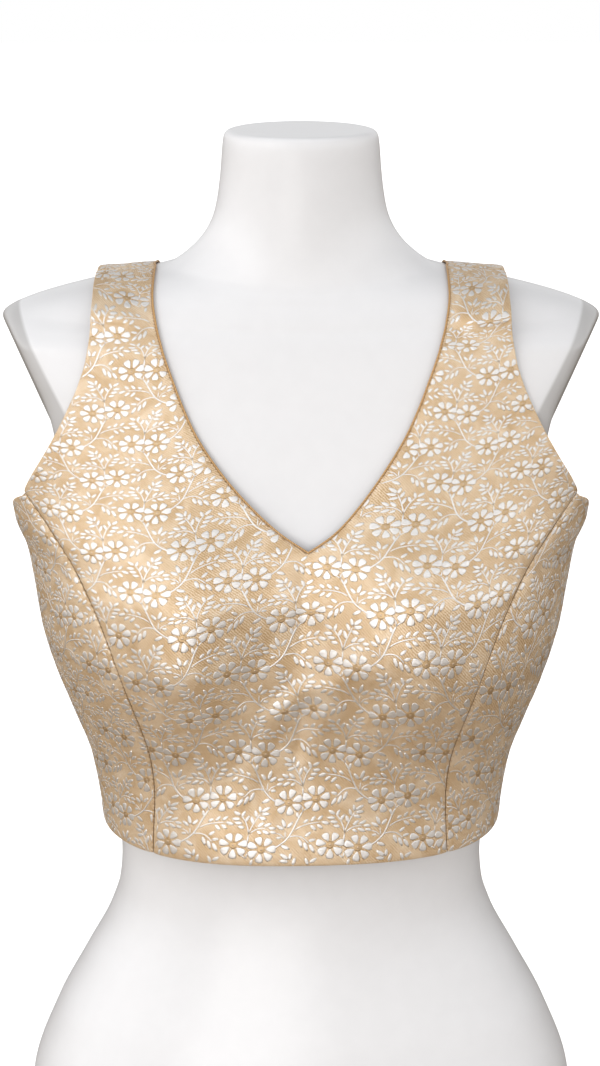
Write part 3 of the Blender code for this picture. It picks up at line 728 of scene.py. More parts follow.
# %% Places in the fabric
REPEAT_WIDE, REPEAT_HIGH, BACK_REPEAT_HIGH = 59.8, 60.0, 61.0
ROW_UP = {                        # mm up the front to each row of upright twigs, halves to turned ones
    "row": (-1, 0, 0.5, 1, 1.5, 2, 2.5, 3, 4, 5, 6, 6.5, 7, 8, 9),
    "up": (-53, 12.6, 41.5, 73, 103.5, 135.5, 168.5, 195.2, 247.5, 290.5, 335, 363, 415, 490, 560),
}
WAIST_UP, WAIST_REACH, WAIST_DRAW, WAIST_ABOUT = 62.0, 34.0, 0.04, 65.0    # the cloth draws in there
HEM_SHIFT, HEM_FROM, HEM_FULL = 2.0, 60.0, 150.0
TILT, TILT_FROM, TILT_FULL = 0.1, 75.0, 150.0
STRAP_FROM, STRAP_FULL = 200.0, 290.0
LEFT_STRAP, RIGHT_STRAP = (117.0, 4.0, 0.19), (-95.0, 0.0, 0.1)    # drawn in about a place, moved, share
STRAP_EASE = 10.0, 70.0           # how far from the middle that begins, and is full
SHOULDER_FROM, SHOULDER_FULL, SHOULDER_DRAW = 350.0, 440.0, 0.085
TURN_STEPS, LEVEL_STEPS = 1440, 469
HEM_ROW, BELOW_HEM = 2, 2.0       # the measured rows begin this far below the hem

around = np.linspace(-np.pi, np.pi, TURN_STEPS + 1)
upward_levels = np.linspace(HEM_LEVEL - BELOW_HEM, BLOUSE[-1, 0], LEVEL_STEPS + 1)
sampled = ring_points(BLOUSE, *np.meshgrid(around, upward_levels))
round_run, up_run = chords(sampled, 1), chords(sampled, 0)
round_run -= round_run[:, TURN_STEPS // 2, None]
up_run -= up_run[HEM_ROW]


def cell_of(grid, row, column):
    """The cell of a grid that a row and column fall in, and how far across it they are, from 0 to 1."""
    r = np.clip(np.floor(row).astype(int), 0, grid.shape[0] - 2)
    c = np.clip(np.floor(column).astype(int), 0, grid.shape[1] - 2)
    shape = row.shape + (1,) * (grid.ndim - 2)
    return r, c, (row - r).reshape(shape), (column - c).reshape(shape)


def read_grid(values, rows, columns):
    """Values of a grid between its rows and columns, by straight lines both ways."""
    r, c, s, t = cell_of(values, rows, columns)
    return ((1 - s) * ((1 - t) * values[r, c] + t * values[r, c + 1])
            + s * ((1 - t) * values[r + 1, c] + t * values[r + 1, c + 1]))


def level_row(level):
    """The measured row that a level lies on."""
    return (level - upward_levels[0]) / (upward_levels[1] - upward_levels[0])


def runs_at(places):
    """Millimetres along the cloth round from the middle, and up from the hem, at (angle, level)."""
    column, row = (places[..., 0] + np.pi) / (around[1] - around[0]), level_row(places[..., 1])
    return read_grid(round_run, row, column), read_grid(up_run, row, column)


def half_girth(level):
    """Millimetres round from the middle of the front to the middle of the back."""
    return read_grid(round_run, level_row(level), np.full(np.shape(level), float(TURN_STEPS)))


BUST_LEVEL = 410.0
print("bust girth", round(2 * float(half_girth(np.array([BUST_LEVEL]))[0])), "mm")

# %% The pattern's place on each piece
def eased(value, start, full):
    """0 before start, 1 after full, and 3t^2 - 2t^3 between them."""
    t = np.clip((value - start) / (full - start), 0, 1)
    return t * t * (3 - 2 * t)


def bell(value, reach):
    """exp(-(value / reach)^2): 1 in the middle, and almost nothing past twice the reach."""
    return np.exp(-(value / reach) ** 2)


def front_fabric(places):
    """Place in the fabric on the front and the side fronts."""
    across, up = runs_at(places)
    level_up = up - TILT * across * eased(up, TILT_FROM, TILT_FULL)
    row = np.interp(level_up, ROW_UP["up"], ROW_UP["row"])
    across = across * (1 - SHOULDER_DRAW * eased(up, SHOULDER_FROM, SHOULDER_FULL))
    waist = WAIST_DRAW * bell(up - WAIST_UP, WAIST_REACH)
    across = across + waist * (across - WAIST_ABOUT) - HEM_SHIFT * (1 - eased(up, HEM_FROM, HEM_FULL))
    drawn = eased(up, STRAP_FROM, STRAP_FULL)
    left, right = (about + (across - about - moved * drawn) / (1 - share * drawn)
                   for about, moved, share in (LEFT_STRAP, RIGHT_STRAP))
    strap = np.where(across > 0, left, right)
    u = across + (strap - across) * eased(np.abs(across), *STRAP_EASE)
    return np.stack([u, REPEAT_HIGH * row], axis=-1)


def back_fabric(places):
    """On the backs the cloth is measured from the middle of the back, on both sides alike."""
    across, up = runs_at(places)
    half = half_girth(places[..., 1])
    u = np.where(across > 0, across - half, across + half)
    return np.stack([u, up * REPEAT_HIGH / BACK_REPEAT_HIGH], axis=-1)


print("a repeat is", REPEAT_WIDE, "by", REPEAT_HIGH, "mm")

# %% [markdown]
# Stretched over the cups and held at the seams, the cloth pulls into a few soft creases: they run from the
# cups into the hollow between them, and from the point of the V down. None is as regular as a pleat, so
# each is given as a line of three to seven points with its own breadth and height. A simulation
# would also find creases, but other ones, and not where this cut pulls.

# %% Creases
FRONT_CREASES = [
    # points (mm round, mm up), breadth, height
    ([(58, 182), (36, 148), (20, 125), (-2, 113), (-19, 92), (-30, 62), (-46, 20)], 7.0, 1.7),
    ([(20, 128), (13, 99), (8, 68)], 5.0, 1.5),
    ([(2, 118), (1, 92), (-4, 64)], 4.5, -1.4),
    ([(-12, 158), (-30, 130), (-38, 107), (-44, 80)], 8.0, -1.5),
    ([(72, 140), (44, 118), (29, 92), (24, 56)], 10.0, -2.2),
    ([(-80, 112), (-66, 84), (-62, 50), (-64, 20)], 8.0, -0.9),
    ([(4, 208), (3, 186), (2, 158), (-2, 134)], 7.0, -2.6),
    ([(16, 206), (17, 184), (14, 160)], 5.0, 0.6),
    ([(84, 118), (70, 88), (66, 56), (70, 24)], 9.0, 1.0),
    ([(104, 150), (92, 112), (84, 80)], 6.0, -0.9),
    ([(-112, 160), (-100, 122), (-92, 90)], 7.0, -0.9),
    ([(-22, 60), (-18, 36), (-22, 10)], 6.0, 0.6),
    ([(-118, 236), (-96, 226), (-74, 226)], 8.0, 0.6),
    ([(126, 232), (104, 226), (82, 232)], 8.0, 0.6),
]
SIDE_CREASES = [
    ([(150, 196), (172, 176), (196, 168)], 6.0, -0.9),
    ([(140, 168), (162, 146), (192, 134)], 7.0, 0.9),
    ([(128, 128), (150, 112), (176, 106)], 6.0, -0.8),
    ([(118, 84), (138, 66), (168, 60)], 7.0, 0.7),
    ([(112, 44), (130, 30), (150, 26)], 6.0, -0.5),
]
BACK_CREASES = [
    # points (mm round from the middle of the back, mm up)
    ([(40, 150), (74, 140), (112, 152), (150, 168)], 8.0, -1.2),
    ([(34, 128), (70, 116), (112, 120), (156, 136)], 8.0, 1.2),
    ([(38, 104), (76, 92), (118, 96), (150, 106)], 8.0, -1.0),
    ([(30, 62), (62, 50), (104, 54), (134, 60)], 9.0, 0.8),
    ([(60, 250), (84, 232), (116, 226), (146, 216)], 8.0, 0.8),
    ([(28, 214), (52, 200), (84, 200)], 8.0, -0.8),
]
CREASE_STEPS = 40
CREASE_ENDS, CREASE_FADE = (0.02, 0.98), 0.7     # so that it is let out to a seventh at its ends
RIPPLE = 0.12                     # mm
print("creases drawn by hand:", len(FRONT_CREASES) + 2 * len(SIDE_CREASES) + 2 * len(BACK_CREASES))


def crease_height(across, up, creases):
    """Sum over creases of height x exp(-(distance / breadth)^2), let out towards both ends of each."""
    total = np.zeros_like(across)
    for path, breadth, height in creases:
        path = np.array(path, float)
        run = chords(path)
        at = np.linspace(0, run[-1], CREASE_STEPS)
        bend = smooth_rows(run, path, at)
        away = np.hypot(across[..., None] - bend[:, 0], up[..., None] - bend[:, 1])
        nearest = at[np.argmin(away, axis=-1)] / run[-1]
        fade = np.sin(np.pi * np.clip(nearest, *CREASE_ENDS)) ** CREASE_FADE
        total += height * fade * bell(away.min(axis=-1), breadth)
    return total


def ripple(across, up):
    """The slight unevenness of worn cloth, a few tenths of a millimetre, from four crossed waves."""
    first = np.sin(across / 8.3 + 2.1 * np.sin(up / 21)) * np.sin(up / 11.7 + 1.3 * np.sin(across / 17))
    second = np.sin(across / 15.1 - up / 19.3) * np.sin(up / 26.5 + across / 31.1)
    return RIPPLE * (first + second)


# %% [markdown]
# Besides its creases, worn cloth stands off the body in some places and hangs or turns in at others: full
# beside the cups, hollow under them, low at the point of the V, and rolled forward over the shoulders.
# Each of these is one soft swell or shift, with its place and its reach.

# %% How the cloth is worn
FULLNESS = [                      # mm round, mm up, breadth and height of the patch, mm out
    (-54, 10, 54, 28, 4.4), (40, 0, 70, 24, 1.6), (-54, 78, 66, 44, -5.4), (54, 68, 70, 42, -6.0),
    (62, 190, 48, 30, 4.0), (-62, 190, 48, 30, 4.4), (-10, 126, 42, 54, -10.5),
]
TUG, TUG_LEVEL, TUG_HIGH, TUG_WIDE = (0.022, -2.6), 482.5, 40.0, 0.3             # at the point of the V
CORNER_ANGLE, CORNER_WIDE, CORNER_HIGH, CORNER_RISE = 1.18, 0.1, 14.0, 3.0       # under the arm
# the rest begins and is full at a breadth from the middle, and at a level
UNDERARM_TUCK, TUCK_WIDE, TUCK_LEVEL, TUCK_HIGH = 3.8, (177, 189), 486.0, 11.0
STRAP_STAND, STAND_WIDE, STAND_HIGH = 5.0, (92, 126), (572, 626)
STRAP_DROP, DROP_WIDE, DROP_HIGH = 2.5, (100, 120), (622, 634)
STRAP_FORWARD, FORWARD_WIDE, FORWARD_LEVEL, FORWARD_HIGH = 8.0, (91, 106), 612.0, 8.5


def fullness(across, up):
    """Sum over patches of height x exp(-(mm across / breadth)^2 - (mm up / depth)^2)."""
    return sum(rise * np.exp(-((across - u) / wide) ** 2 - ((up - v) / high) ** 2)
               for u, v, wide, high, rise in FULLNESS)


def strap_stand(points):
    """A strap bridges the slope of the shoulder: least at the neck, most at its outer edge near the top."""
    wide, level = np.abs(points[..., 0]), points[..., 2]
    return (STRAP_STAND * eased(wide, *STAND_WIDE) * eased(level, *STAND_HIGH)
            - STRAP_DROP * eased(wide, *DROP_WIDE) * eased(level, *DROP_HIGH))


def strap_forward(points):
    """How far a strap stands out below its top, so that it rolls over the shoulder and doesn't slope."""
    wide, level = np.abs(points[..., 0]), points[..., 2]
    return STRAP_FORWARD * eased(wide, *FORWARD_WIDE) * bell(level - FORWARD_LEVEL, FORWARD_HIGH)


def underarm_tuck(points):
    """The cloth's top edge turns in under the arm, so that it doesn't stand up as a corner."""
    wide, level = np.abs(points[..., 0]), points[..., 2]
    return -UNDERARM_TUCK * eased(wide, *TUCK_WIDE) * bell(level - TUCK_LEVEL, TUCK_HIGH)


def tugged(places):
    """(angle, level) shifted where the point of the V hangs lower and to the wearer's left, and where
    the underarm's corner is pulled up. Both shifts die away like a bell."""
    angle, level = places[..., 0], places[..., 1]
    near = np.exp(-((level - TUG_LEVEL) / TUG_HIGH) ** 2 - (angle / TUG_WIDE) ** 2)
    corner = np.exp(-((np.abs(angle) - CORNER_ANGLE) / CORNER_WIDE) ** 2
                    - ((level - UNDERARM_LEVEL) / CORNER_HIGH) ** 2)
    return places + near[..., None] * TUG + corner[..., None] * (0, CORNER_RISE)


print("deepest hollow", min(patch[-1] for patch in FULLNESS), "mm")

# %% [markdown]
# A cut piece becomes a closed wall of cloth: the outer face lies on the blouse's surface, raised and
# lowered by the creases and drawn in where a seam pulls it, the inner face follows 1.5 mm behind, and the
# half circle of the turned edge joins them all round. Building the wall directly, and not with a Solidify
# modifier, lets the turned edge be round and the fabric's places carry on over it.

# %% Laying a grid on the body
SEAM_DIP, SEAM_REACH = 0.55, 3.0      # a seam draws the cloth in by this much, over this distance
HEM_SWELL, HEM_DEPTH = 0.5, 9.0       # the turned hem is thicker
SIDES = "first", "last", "hem", "top"
DART_COLUMN, DART_TOP = 24, 118.0     # the back's waist dart: its grid column, and how far up it runs
EDGE_CALM = 16.0                      # creases begin at the edges and are full this far in
FAR_IN, PAST_END = 60.0, 8.0          # the most that an edge's distance counts, and mm for a row past it


def edge_distance(points, side):
    """How far each grid point is from the grid's first or last column, or its first or last row."""
    axis = 1 if side in ("first", "last") else 0
    backwards = side in ("last", "top")
    flipped = np.flip(points, axis) if backwards else points
    run = chords(flipped, axis)
    return np.flip(run, axis) if backwards else run


def nearest_edge(points, edges):
    """How far each grid point is from the nearest of some edges. Each is a side, and the first and last
    row that it runs along; past those it is let out quickly."""
    nearest = np.full(points.shape[:2], FAR_IN)
    row = np.arange(len(points))[:, None]
    for side, first, last in edges:
        past = np.maximum(0, np.maximum(first - row, row - last))
        nearest = np.minimum(nearest, edge_distance(points, side) + PAST_END * past)
    return nearest


def dart_distance(points, up, column, top):
    """How far each grid point is from a dart that runs up a column of the grid, to a height."""
    run = chords(points, 1)
    return np.hypot(run - run[:, column:column + 1], np.maximum(0, up - top))


def facing(points):
    """Normals of a grid from how it runs both ways."""
    return unit(np.cross(np.gradient(points, axis=1), np.gradient(points, axis=0)))


def laid(places, fabric, creases, seams, mirror=1, fold=None, back=False, lift=None):
    """Everything known of a grid: its points, outward normals and places in the fabric, how far each
    point is from a sewn edge, and how far up. mirror is -1 on the wearer's right, and fold is a side
    that is no edge below the point of the V."""
    places = tugged(places)
    base, _, _, out = surface_at(places)
    across, up = runs_at(places)
    woven_at = fabric(places)
    raised = crease_height(np.abs(woven_at[..., 0]) if back else mirror * across, up, creases)
    edges = [(side, LOW_ROWS if side == fold else 0, len(places) - 1) for side in SIDES]
    raised = (raised + ripple(across, up)) * eased(nearest_edge(base, edges), 0, EDGE_CALM)
    if not back:
        raised = raised + fullness(across, up)
    raised = raised + strap_stand(base) + underarm_tuck(base)
    sewn = nearest_edge(base, seams)
    if back:
        column = DART_COLUMN if mirror > 0 else places.shape[1] - 1 - DART_COLUMN
        sewn = np.minimum(sewn, dart_distance(base, up, column, DART_TOP))
    raised = raised - SEAM_DIP * bell(sewn, SEAM_REACH)
    raised = raised + HEM_SWELL * bell(edge_distance(base, "hem"), HEM_DEPTH)
    if lift is not None:
        raised = raised + lift(base)
    points = base + out * raised[..., None]
    points[..., 1] += strap_forward(base) * (1 if back else -1)
    return {"points": points, "out": facing(points), "fabric": woven_at, "sewn": sewn, "run": up}


print("a seam draws the cloth in by", SEAM_DIP, "mm")

# %% From a grid to a wall of cloth
RIM_STEPS = 6
SEAM_MAP_END = 50.0                   # distances from a seam are kept up to this


def rectangle_loop(index):
    """The border of a grid of indices, anticlockwise as seen from outside."""
    return np.concatenate([index[0, :-1], index[:-1, -1], index[-1, :0:-1], index[:0:-1, 0]])


def store(mesh, name, values):
    """A UV map, in millimetres of fabric, from one pair of values for each vertex."""
    corner = np.empty(len(mesh.loops), int)
    mesh.loops.foreach_get("vertex_index", corner)
    layer = mesh.uv_layers.new(name=name)
    layer.uv.foreach_set("vector", values[corner].astype(np.float32).ravel())


def wall(name, points, out, faces, loop, maps, finishes):
    """Outer face, inner face and the half circle between them along the loop."""
    inner = points - out * WALL
    aside = unit(np.cross(points[np.roll(loop, -1)] - points[np.roll(loop, 1)], out[loop]))
    turn = np.pi * np.arange(1, RIM_STEPS)[:, None, None] / RIM_STEPS
    middle = (points - out * WALL / 2)[loop]
    rim = middle + EDGE_ROUND * (np.cos(turn) * out[loop] + np.sin(turn) * aside)
    count, around_it = len(points), len(loop)
    rings = [loop] + [2 * count + k * around_it + np.arange(around_it) for k in range(RIM_STEPS - 1)]
    rings.append(loop + count)
    edge = np.concatenate([np.stack([a, b, np.roll(b, -1), np.roll(a, -1)], axis=-1)
                           for a, b in zip(rings, rings[1:])])
    everything = np.concatenate([points, inner, rim.reshape(-1, 3)])
    every_face = np.concatenate([faces, edge, faces[:, ::-1] + count])
    piece = add_piece(name, everything, [every_face], finishes)
    lining = np.zeros(len(every_face), int)
    lining[len(faces) + len(edge):] = 1
    piece.data.polygons.foreach_set("material_index", lining)
    for label, values in maps.items():
        rim_values = np.tile(values[loop], (RIM_STEPS - 1, 1))
        if label == "Seam":
            rim_values[:, 0] -= np.repeat(turn.ravel() * EDGE_ROUND, around_it)
        store(piece.data, label, np.concatenate([values, values, rim_values]))
    return piece


def flat_maps(grid):
    """The two UV maps of a grid: places in the fabric, and (distance from the seam, run along it)."""
    return {"Fabric": grid["fabric"].reshape(-1, 2),
            "Seam": np.stack([np.minimum(grid["sewn"], SEAM_MAP_END), grid["run"]], axis=-1).reshape(-1, 2)}


def grid_wall(name, grid, finishes):
    """The wall of a piece that is one whole grid."""
    index = np.arange(grid["points"][..., 0].size).reshape(grid["points"].shape[:2])
    return wall(name, grid["points"].reshape(-1, 3), grid["out"].reshape(-1, 3), grid_faces(index),
                rectangle_loop(index), flat_maps(grid), finishes)


def front_wall(name, right, left, finishes):
    """The front is two grids that share their middle column up to the point of the V."""
    size, (rows, columns) = left["points"][..., 0].size, left["points"].shape[:2]
    mine = np.arange(size).reshape(rows, columns)
    other = mine + size
    other[:LOW_ROWS + 1, -1] = mine[:LOW_ROWS + 1, 0]
    faces = np.concatenate([grid_faces(other), grid_faces(mine)])
    loop = np.concatenate([other[0, :-1], mine[0, :-1], mine[:-1, -1], mine[-1, :0:-1],
                           mine[:LOW_ROWS:-1, 0], other[LOW_ROWS:-1, -1], other[-1, :0:-1], other[:0:-1, 0]])
    used = np.unique(faces)
    renumber = np.full(2 * size, -1)
    renumber[used] = np.arange(len(used))
    two = {key: np.concatenate([left[key].reshape(size, -1), right[key].reshape(size, -1)])[used]
           for key in ("points", "out", "fabric")}
    maps = {key: np.concatenate([a, b])[used] for (key, a), b in zip(flat_maps(left).items(),
                                                                     flat_maps(right).values())}
    return wall(name, two["points"], two["out"], renumber[faces], renumber[loop], maps, finishes)


print("a wall of cloth is", WALL, "mm with", RIM_STEPS, "steps round its edge")

# %% [markdown]
# The weaver's motif is a small flowering twig: two seven-petalled flowers side by side, a sprig of three
# leafy branches rising between them, and a trailing stem that runs off to one side and forks under the
# next pair. Every other row is the same twig turned over, set half a step up and across. The twig is
# charted here once, flat, in millimetres. Each petal, leaf and stem is a small closed blade with a raised
# middle, because silk floss woven over the ground stands a little proud of it. A bump texture could only
# hint at that relief, while the blades catch the light from every side. Round each blade's rim a tan
# outline is painted, as painted shade of that relief.

# %% Blades, the one shape that the twig is made of
RIM_RISE, RIM_DROP = 0.02, -0.3    # mm from the cloth's face to a blade's rim and to its underside
ACROSS = np.array([-1.0, -0.74, 0.0, 0.74, 1.0, 0.0])       # places round a blade's section
RISE = np.array([0.0, 0.86, 1.0, 0.86, 0.0, 0.0])
UNDER = np.array([0, 0, 0, 0, 0, 1.0])
# at a share of 0 a blade's rim takes a tan outline, painted shade of its relief
FLOSS = np.array([0.0, 1.0, 1.0, 1.0, 0.0, 0.0])            # 0 is the tan outline, 1 the floss
TIP_FLOSS = 0.4, 0.4


def blade(spine, half, lift, floss=1.0):
    """A closed blade along a spine of points: the two ends are points, and every place between them has
    a section of six corners, half x across wide and lift x rise high."""
    spine, half = np.asarray(spine, float), np.asarray(half, float)
    way = unit(np.gradient(spine, axis=0))
    side = np.stack([-way[:, 1], way[:, 0]], axis=1)
    inner = slice(1, -1)
    flat = spine[inner, None] - side[inner, None] * (half[inner, None] * ACROSS)[..., None]
    high = RIM_RISE + RISE * lift + UNDER * RIM_DROP + np.zeros((len(flat), 1))
    rings = np.concatenate([flat, high[..., None]], axis=-1)
    points, (quads, fans) = closed_rings(rings, np.column_stack([spine[[0, -1]], (0.0, 0.0)]))
    tris = np.concatenate([quads[:, [0, 1, 2]], quads[:, [0, 2, 3]], fans])
    share = np.append(np.tile(FLOSS, len(flat)), TIP_FLOSS) * floss
    return points, tris[:, ::-1], share


print("a blade's section has", len(ACROSS), "corners")

# %% Leaves, petals, bosses and stems
LEAF_ALONG, LEAF_SHAPE = (-0.12, 0.14, 0.5, 0.9, 1.26), (0, 0.76, 1.0, 0.76, 0)   # shares of its length
LEAF_HALF, LEAF_WIDENING = 0.64, 0.14           # half breadth, and how much more for each mm of length
PETALS = 7
PETAL_ALONG, PETAL_HALF = (2.4, 3.1, 4.6, 6.4, 8.1, 8.75), (0, 0.6, 1.7, 2.55, 2.3, 0)      # mm
PETAL_ROUND = 1.05, 0.96                        # a flower is drawn a little wider than high
LEAF_LIFT, STEM_LIFT = 0.08, 0.12               # mm that the middle stands above the rim
DISC, BOSS = (2.5, 0.03, 0.2), (0.9, 0.14, 0.28)   # radius, lift and floss: a tan ground, a paler eye
BOSS_TURN = 0, 35, 90, 145, 180                 # degrees round a dot at which its spine has points
STEM_STEP, STEM_STEPS = 2.8, 4                  # mm between a stem's sections, and the fewest of them


def leaf(x0, y0, x1, y1):
    """A leaf from its stalk to its point, broadest before the middle."""
    stalk, point = np.array([x0, y0]), np.array([x1, y1])
    half = LEAF_HALF + LEAF_WIDENING * np.linalg.norm(point - stalk)
    spine = stalk + np.array(LEAF_ALONG)[:, None] * (point - stalk)
    return blade(spine, np.array(LEAF_SHAPE) * half, LEAF_LIFT)


def petal(centre, angle):
    """A claw that widens to a broad blunt end."""
    way = PETAL_ROUND[0] * np.cos(angle), PETAL_ROUND[1] * np.sin(angle)
    return blade(centre + np.array(PETAL_ALONG)[:, None] * way, PETAL_HALF, LEAF_LIFT)


def boss(centre, radius, lift, floss):
    """A round dot."""
    turn = np.radians(BOSS_TURN)
    spine = centre - radius * np.cos(turn)[:, None] * (1, 0)
    return blade(spine, radius * np.sin(turn), lift, floss)


def flower(centre, turned):
    """Seven petals round a tan ground with a slightly paler boss in the middle."""
    centre = np.array(centre)
    petals = [petal(centre, turned + 2 * np.pi * k / PETALS) for k in range(PETALS)]
    return petals + [boss(centre, *DISC), boss(centre, *BOSS)]


def stem(base, end, *points):
    """A tapering line through points, from half width base to end."""
    points = np.array(points, float)
    run = chords(points)
    line = smooth_rows(run, points, np.linspace(0, run[-1], max(STEM_STEPS, int(run[-1] / STEM_STEP) + 2)))
    half = np.linspace(base, end, len(line))
    half[[0, -1]] = 0
    return blade(line, half, STEM_LIFT)


print("a petal is", PETAL_ALONG[-1] - PETAL_ALONG[0], "mm long")

# %% The chart of one twig
FLOWERS = [((-8.7, 0.9), 0.2), ((8.7, -1.4), 0.05)]       # middle, and how far it is turned
STEMS = [
    stem(0.58, 0.52, (-0.1, 2.0), (0.0, 5.0), (0.3, 8.6)),                                # the trunk
    stem(0.50, 0.40, (0.2, 7.9), (-0.2, 11.0), (-1.5, 14.8), (-3.2, 18.0), (-5.7, 20.8)),
    stem(0.50, 0.40, (0.3, 8.0), (0.8, 10.2), (2.1, 13.6), (4.3, 17.9), (7.1, 22.6)),
    stem(0.50, 0.40, (0.4, 7.9), (3.4, 10.8), (7.7, 12.4), (12.4, 12.6)),
    stem(0.58, 0.58, (15.2, -1.5), (20.5, 1.8), (24.8, 5.9), (28.3, 12.6), (31.2, 19.4), (33.6, 23.8)),
    stem(0.46, 0.38, (33.1, 22.6), (33.0, 24.6), (32.3, 26.6)),
    stem(0.46, 0.38, (33.1, 22.6), (34.6, 24.1), (36.4, 25.0)),
    stem(0.50, 0.40, (28.0, 9.8), (30.6, 12.2), (33.8, 13.7), (40.0, 15.3), (45.6, 15.9)),
    stem(0.46, 0.36, (23.4, 4.6), (23.1, 7.4), (22.7, 11.4)),
    stem(0.46, 0.36, (22.8, 4.2), (21.4, 7.2), (18.9, 8.6), (16.6, 9.3)),
    stem(0.50, 0.40, (24.2, 5.4), (27.5, 7.1), (31.4, 7.0), (35.3, 4.8), (38.5, 1.0)),
]
LEAVES = [
    # the sprig's left branch, its middle one and its right one, each leaf from stalk to point
    (-2.8, 12.4, -6.3, 13.3), (-4.4, 15.3, -8.4, 15.9), (-6.0, 18.0, -10.3, 18.5), (-6.1, 20.8, -9.6, 22.9),
    (-2.5, 16.6, -0.4, 19.9), (-4.9, 19.6, -3.4, 23.0),
    (2.5, 15.2, 1.3, 19.2), (4.4, 19.6, 3.2, 23.2), (6.4, 22.6, 5.8, 26.0),
    (6.0, 19.4, 9.9, 18.2), (7.5, 21.4, 11.9, 21.7), (7.4, 23.0, 11.6, 25.6),
    (5.6, 13.2, 8.8, 15.7), (9.6, 13.7, 13.3, 15.4), (5.4, 10.4, 7.9, 8.8), (8.8, 10.8, 12.7, 8.9),
    (12.6, 12.6, 16.4, 12.3),
    # the trailing stem's long branch, and its fork
    (34.2, 15.6, 36.6, 17.4), (38.7, 16.4, 41.0, 19.2), (43.0, 17.2, 45.7, 19.5), (38.8, 13.6, 41.7, 10.9),
    (42.7, 14.2, 45.7, 12.0), (45.6, 16.0, 49.8, 14.7), (30.5, 19.0, 29.6, 22.0),
    # the fan, the hook, the arch, and the leaf under the trailing stem
    (22.7, 12.8, 20.9, 17.4), (21.5, 11.4, 18.0, 13.8), (24.2, 12.6, 26.8, 15.6),
    (17.0, 9.3, 13.9, 10.1), (20.6, 6.1, 17.9, 6.0),
    (31.6, 4.9, 33.3, 0.3), (35.0, 2.8, 36.7, -1.8), (35.5, 6.7, 38.5, 9.1), (37.8, 3.8, 41.3, 4.5),
    (38.3, 1.3, 40.9, -2.8), (21.0, 0.9, 25.2, -1.0),
]


def gathered(parts):
    """Many small meshes as one: points, triangles, floss, and the number of the part at each point."""
    sizes = [len(points) for points, _, _ in parts]
    starts = np.cumsum([0, *sizes[:-1]])
    points, tris, floss = zip(*parts)
    return (np.concatenate(points), np.concatenate([t + start for t, start in zip(tris, starts)]),
            np.concatenate(floss), np.repeat(np.arange(len(parts)), sizes))


TWIG = gathered(flower(*FLOWERS[0]) + flower(*FLOWERS[1]) + STEMS + [leaf(*row) for row in LEAVES])
print("one twig:", TWIG[3][-1] + 1, "blades,", len(TWIG[1]), "triangles")

# %% [markdown]
# To weave the twig into a piece of cloth, each of its points is looked up in that piece's grid: which row
# and column has this place in the fabric? Newton's method finds it in a few steps, for all points at once.
# A blade that lies wholly outside the piece is dropped, and one that crosses a seam is cut off at it, as
# the scissors did.

# %% Finding a place of the fabric on a grid
SEARCH_ROWS, SEARCH_COLUMNS = 5, 4              # every so many grid points are tried first
CHUNKS = 40                                     # searched one after another, to save memory
NEWTON_STEPS, LONGEST_STEP, LEAST_AREA = 9, 5, 1e-9


def locate(fabric, wanted, row, column):
    """Row and column of a grid at which the fabric has the wanted places."""
    for _ in range(NEWTON_STEPS):
        r, c, s, t = cell_of(fabric, row, column)
        a, b, d, e = fabric[r, c], fabric[r, c + 1], fabric[r + 1, c], fabric[r + 1, c + 1]
        short = wanted - ((1 - s) * ((1 - t) * a + t * b) + s * ((1 - t) * d + t * e))
        by_row, by_column = (1 - t) * (d - a) + t * (e - b), (1 - s) * (b - a) + s * (e - d)
        area = by_row[:, 0] * by_column[:, 1] - by_row[:, 1] * by_column[:, 0]
        area = np.where(np.abs(area) < LEAST_AREA, LEAST_AREA, area)
        steps = (short[:, 0] * by_column[:, 1] - short[:, 1] * by_column[:, 0],
                 by_row[:, 0] * short[:, 1] - by_row[:, 1] * short[:, 0])
        row, column = (at + np.clip(step / area, -LONGEST_STEP, LONGEST_STEP)
                       for at, step in zip((row, column), steps))
    return row, column


def nearest_cells(fabric, wanted, among):
    """For the wanted places that are among those asked for: the nearest tried grid point, and how far."""
    tried = np.meshgrid(np.arange(0, fabric.shape[0], SEARCH_ROWS),
                        np.arange(0, fabric.shape[1], SEARCH_COLUMNS), indexing="ij")
    sample = fabric[tried[0], tried[1]].reshape(-1, 2)
    row, column, distance = np.zeros(len(wanted)), np.zeros(len(wanted)), np.full(len(wanted), np.inf)
    for chunk in np.array_split(np.flatnonzero(among), CHUNKS):
        gap = ((wanted[chunk, None] - sample) ** 2).sum(-1)
        best = gap.argmin(1)
        distance[chunk] = np.sqrt(gap[np.arange(len(chunk)), best])
        row[chunk], column[chunk] = tried[0].ravel()[best], tried[1].ravel()[best]
    return row, column, distance


print("a place is looked up in", NEWTON_STEPS, "steps")

# %% Weaving the twig into a piece
TWIG_AT = 24.4                    # mm from the middle to the first column of upright twigs
TURNED_AT = (32.6, 30.0)          # from an upright twig to the turned one above it
FOLD_COLUMNS = 18                 # columns that a half front borrows from the other across the fold
REACH_LEFT, REACH_RIGHT, REACH_DOWN, REACH_UP = 60, 110, 30, 40      # mm that a pair of twigs may reach
BOX_MARGIN, NEAR = 4, 14          # mm within which a blade's middle is looked for
PAST_FIRST, BEFORE_LAST = 0.3, 0.7    # rows that a blade's middle may be past the hem, or is in at the top


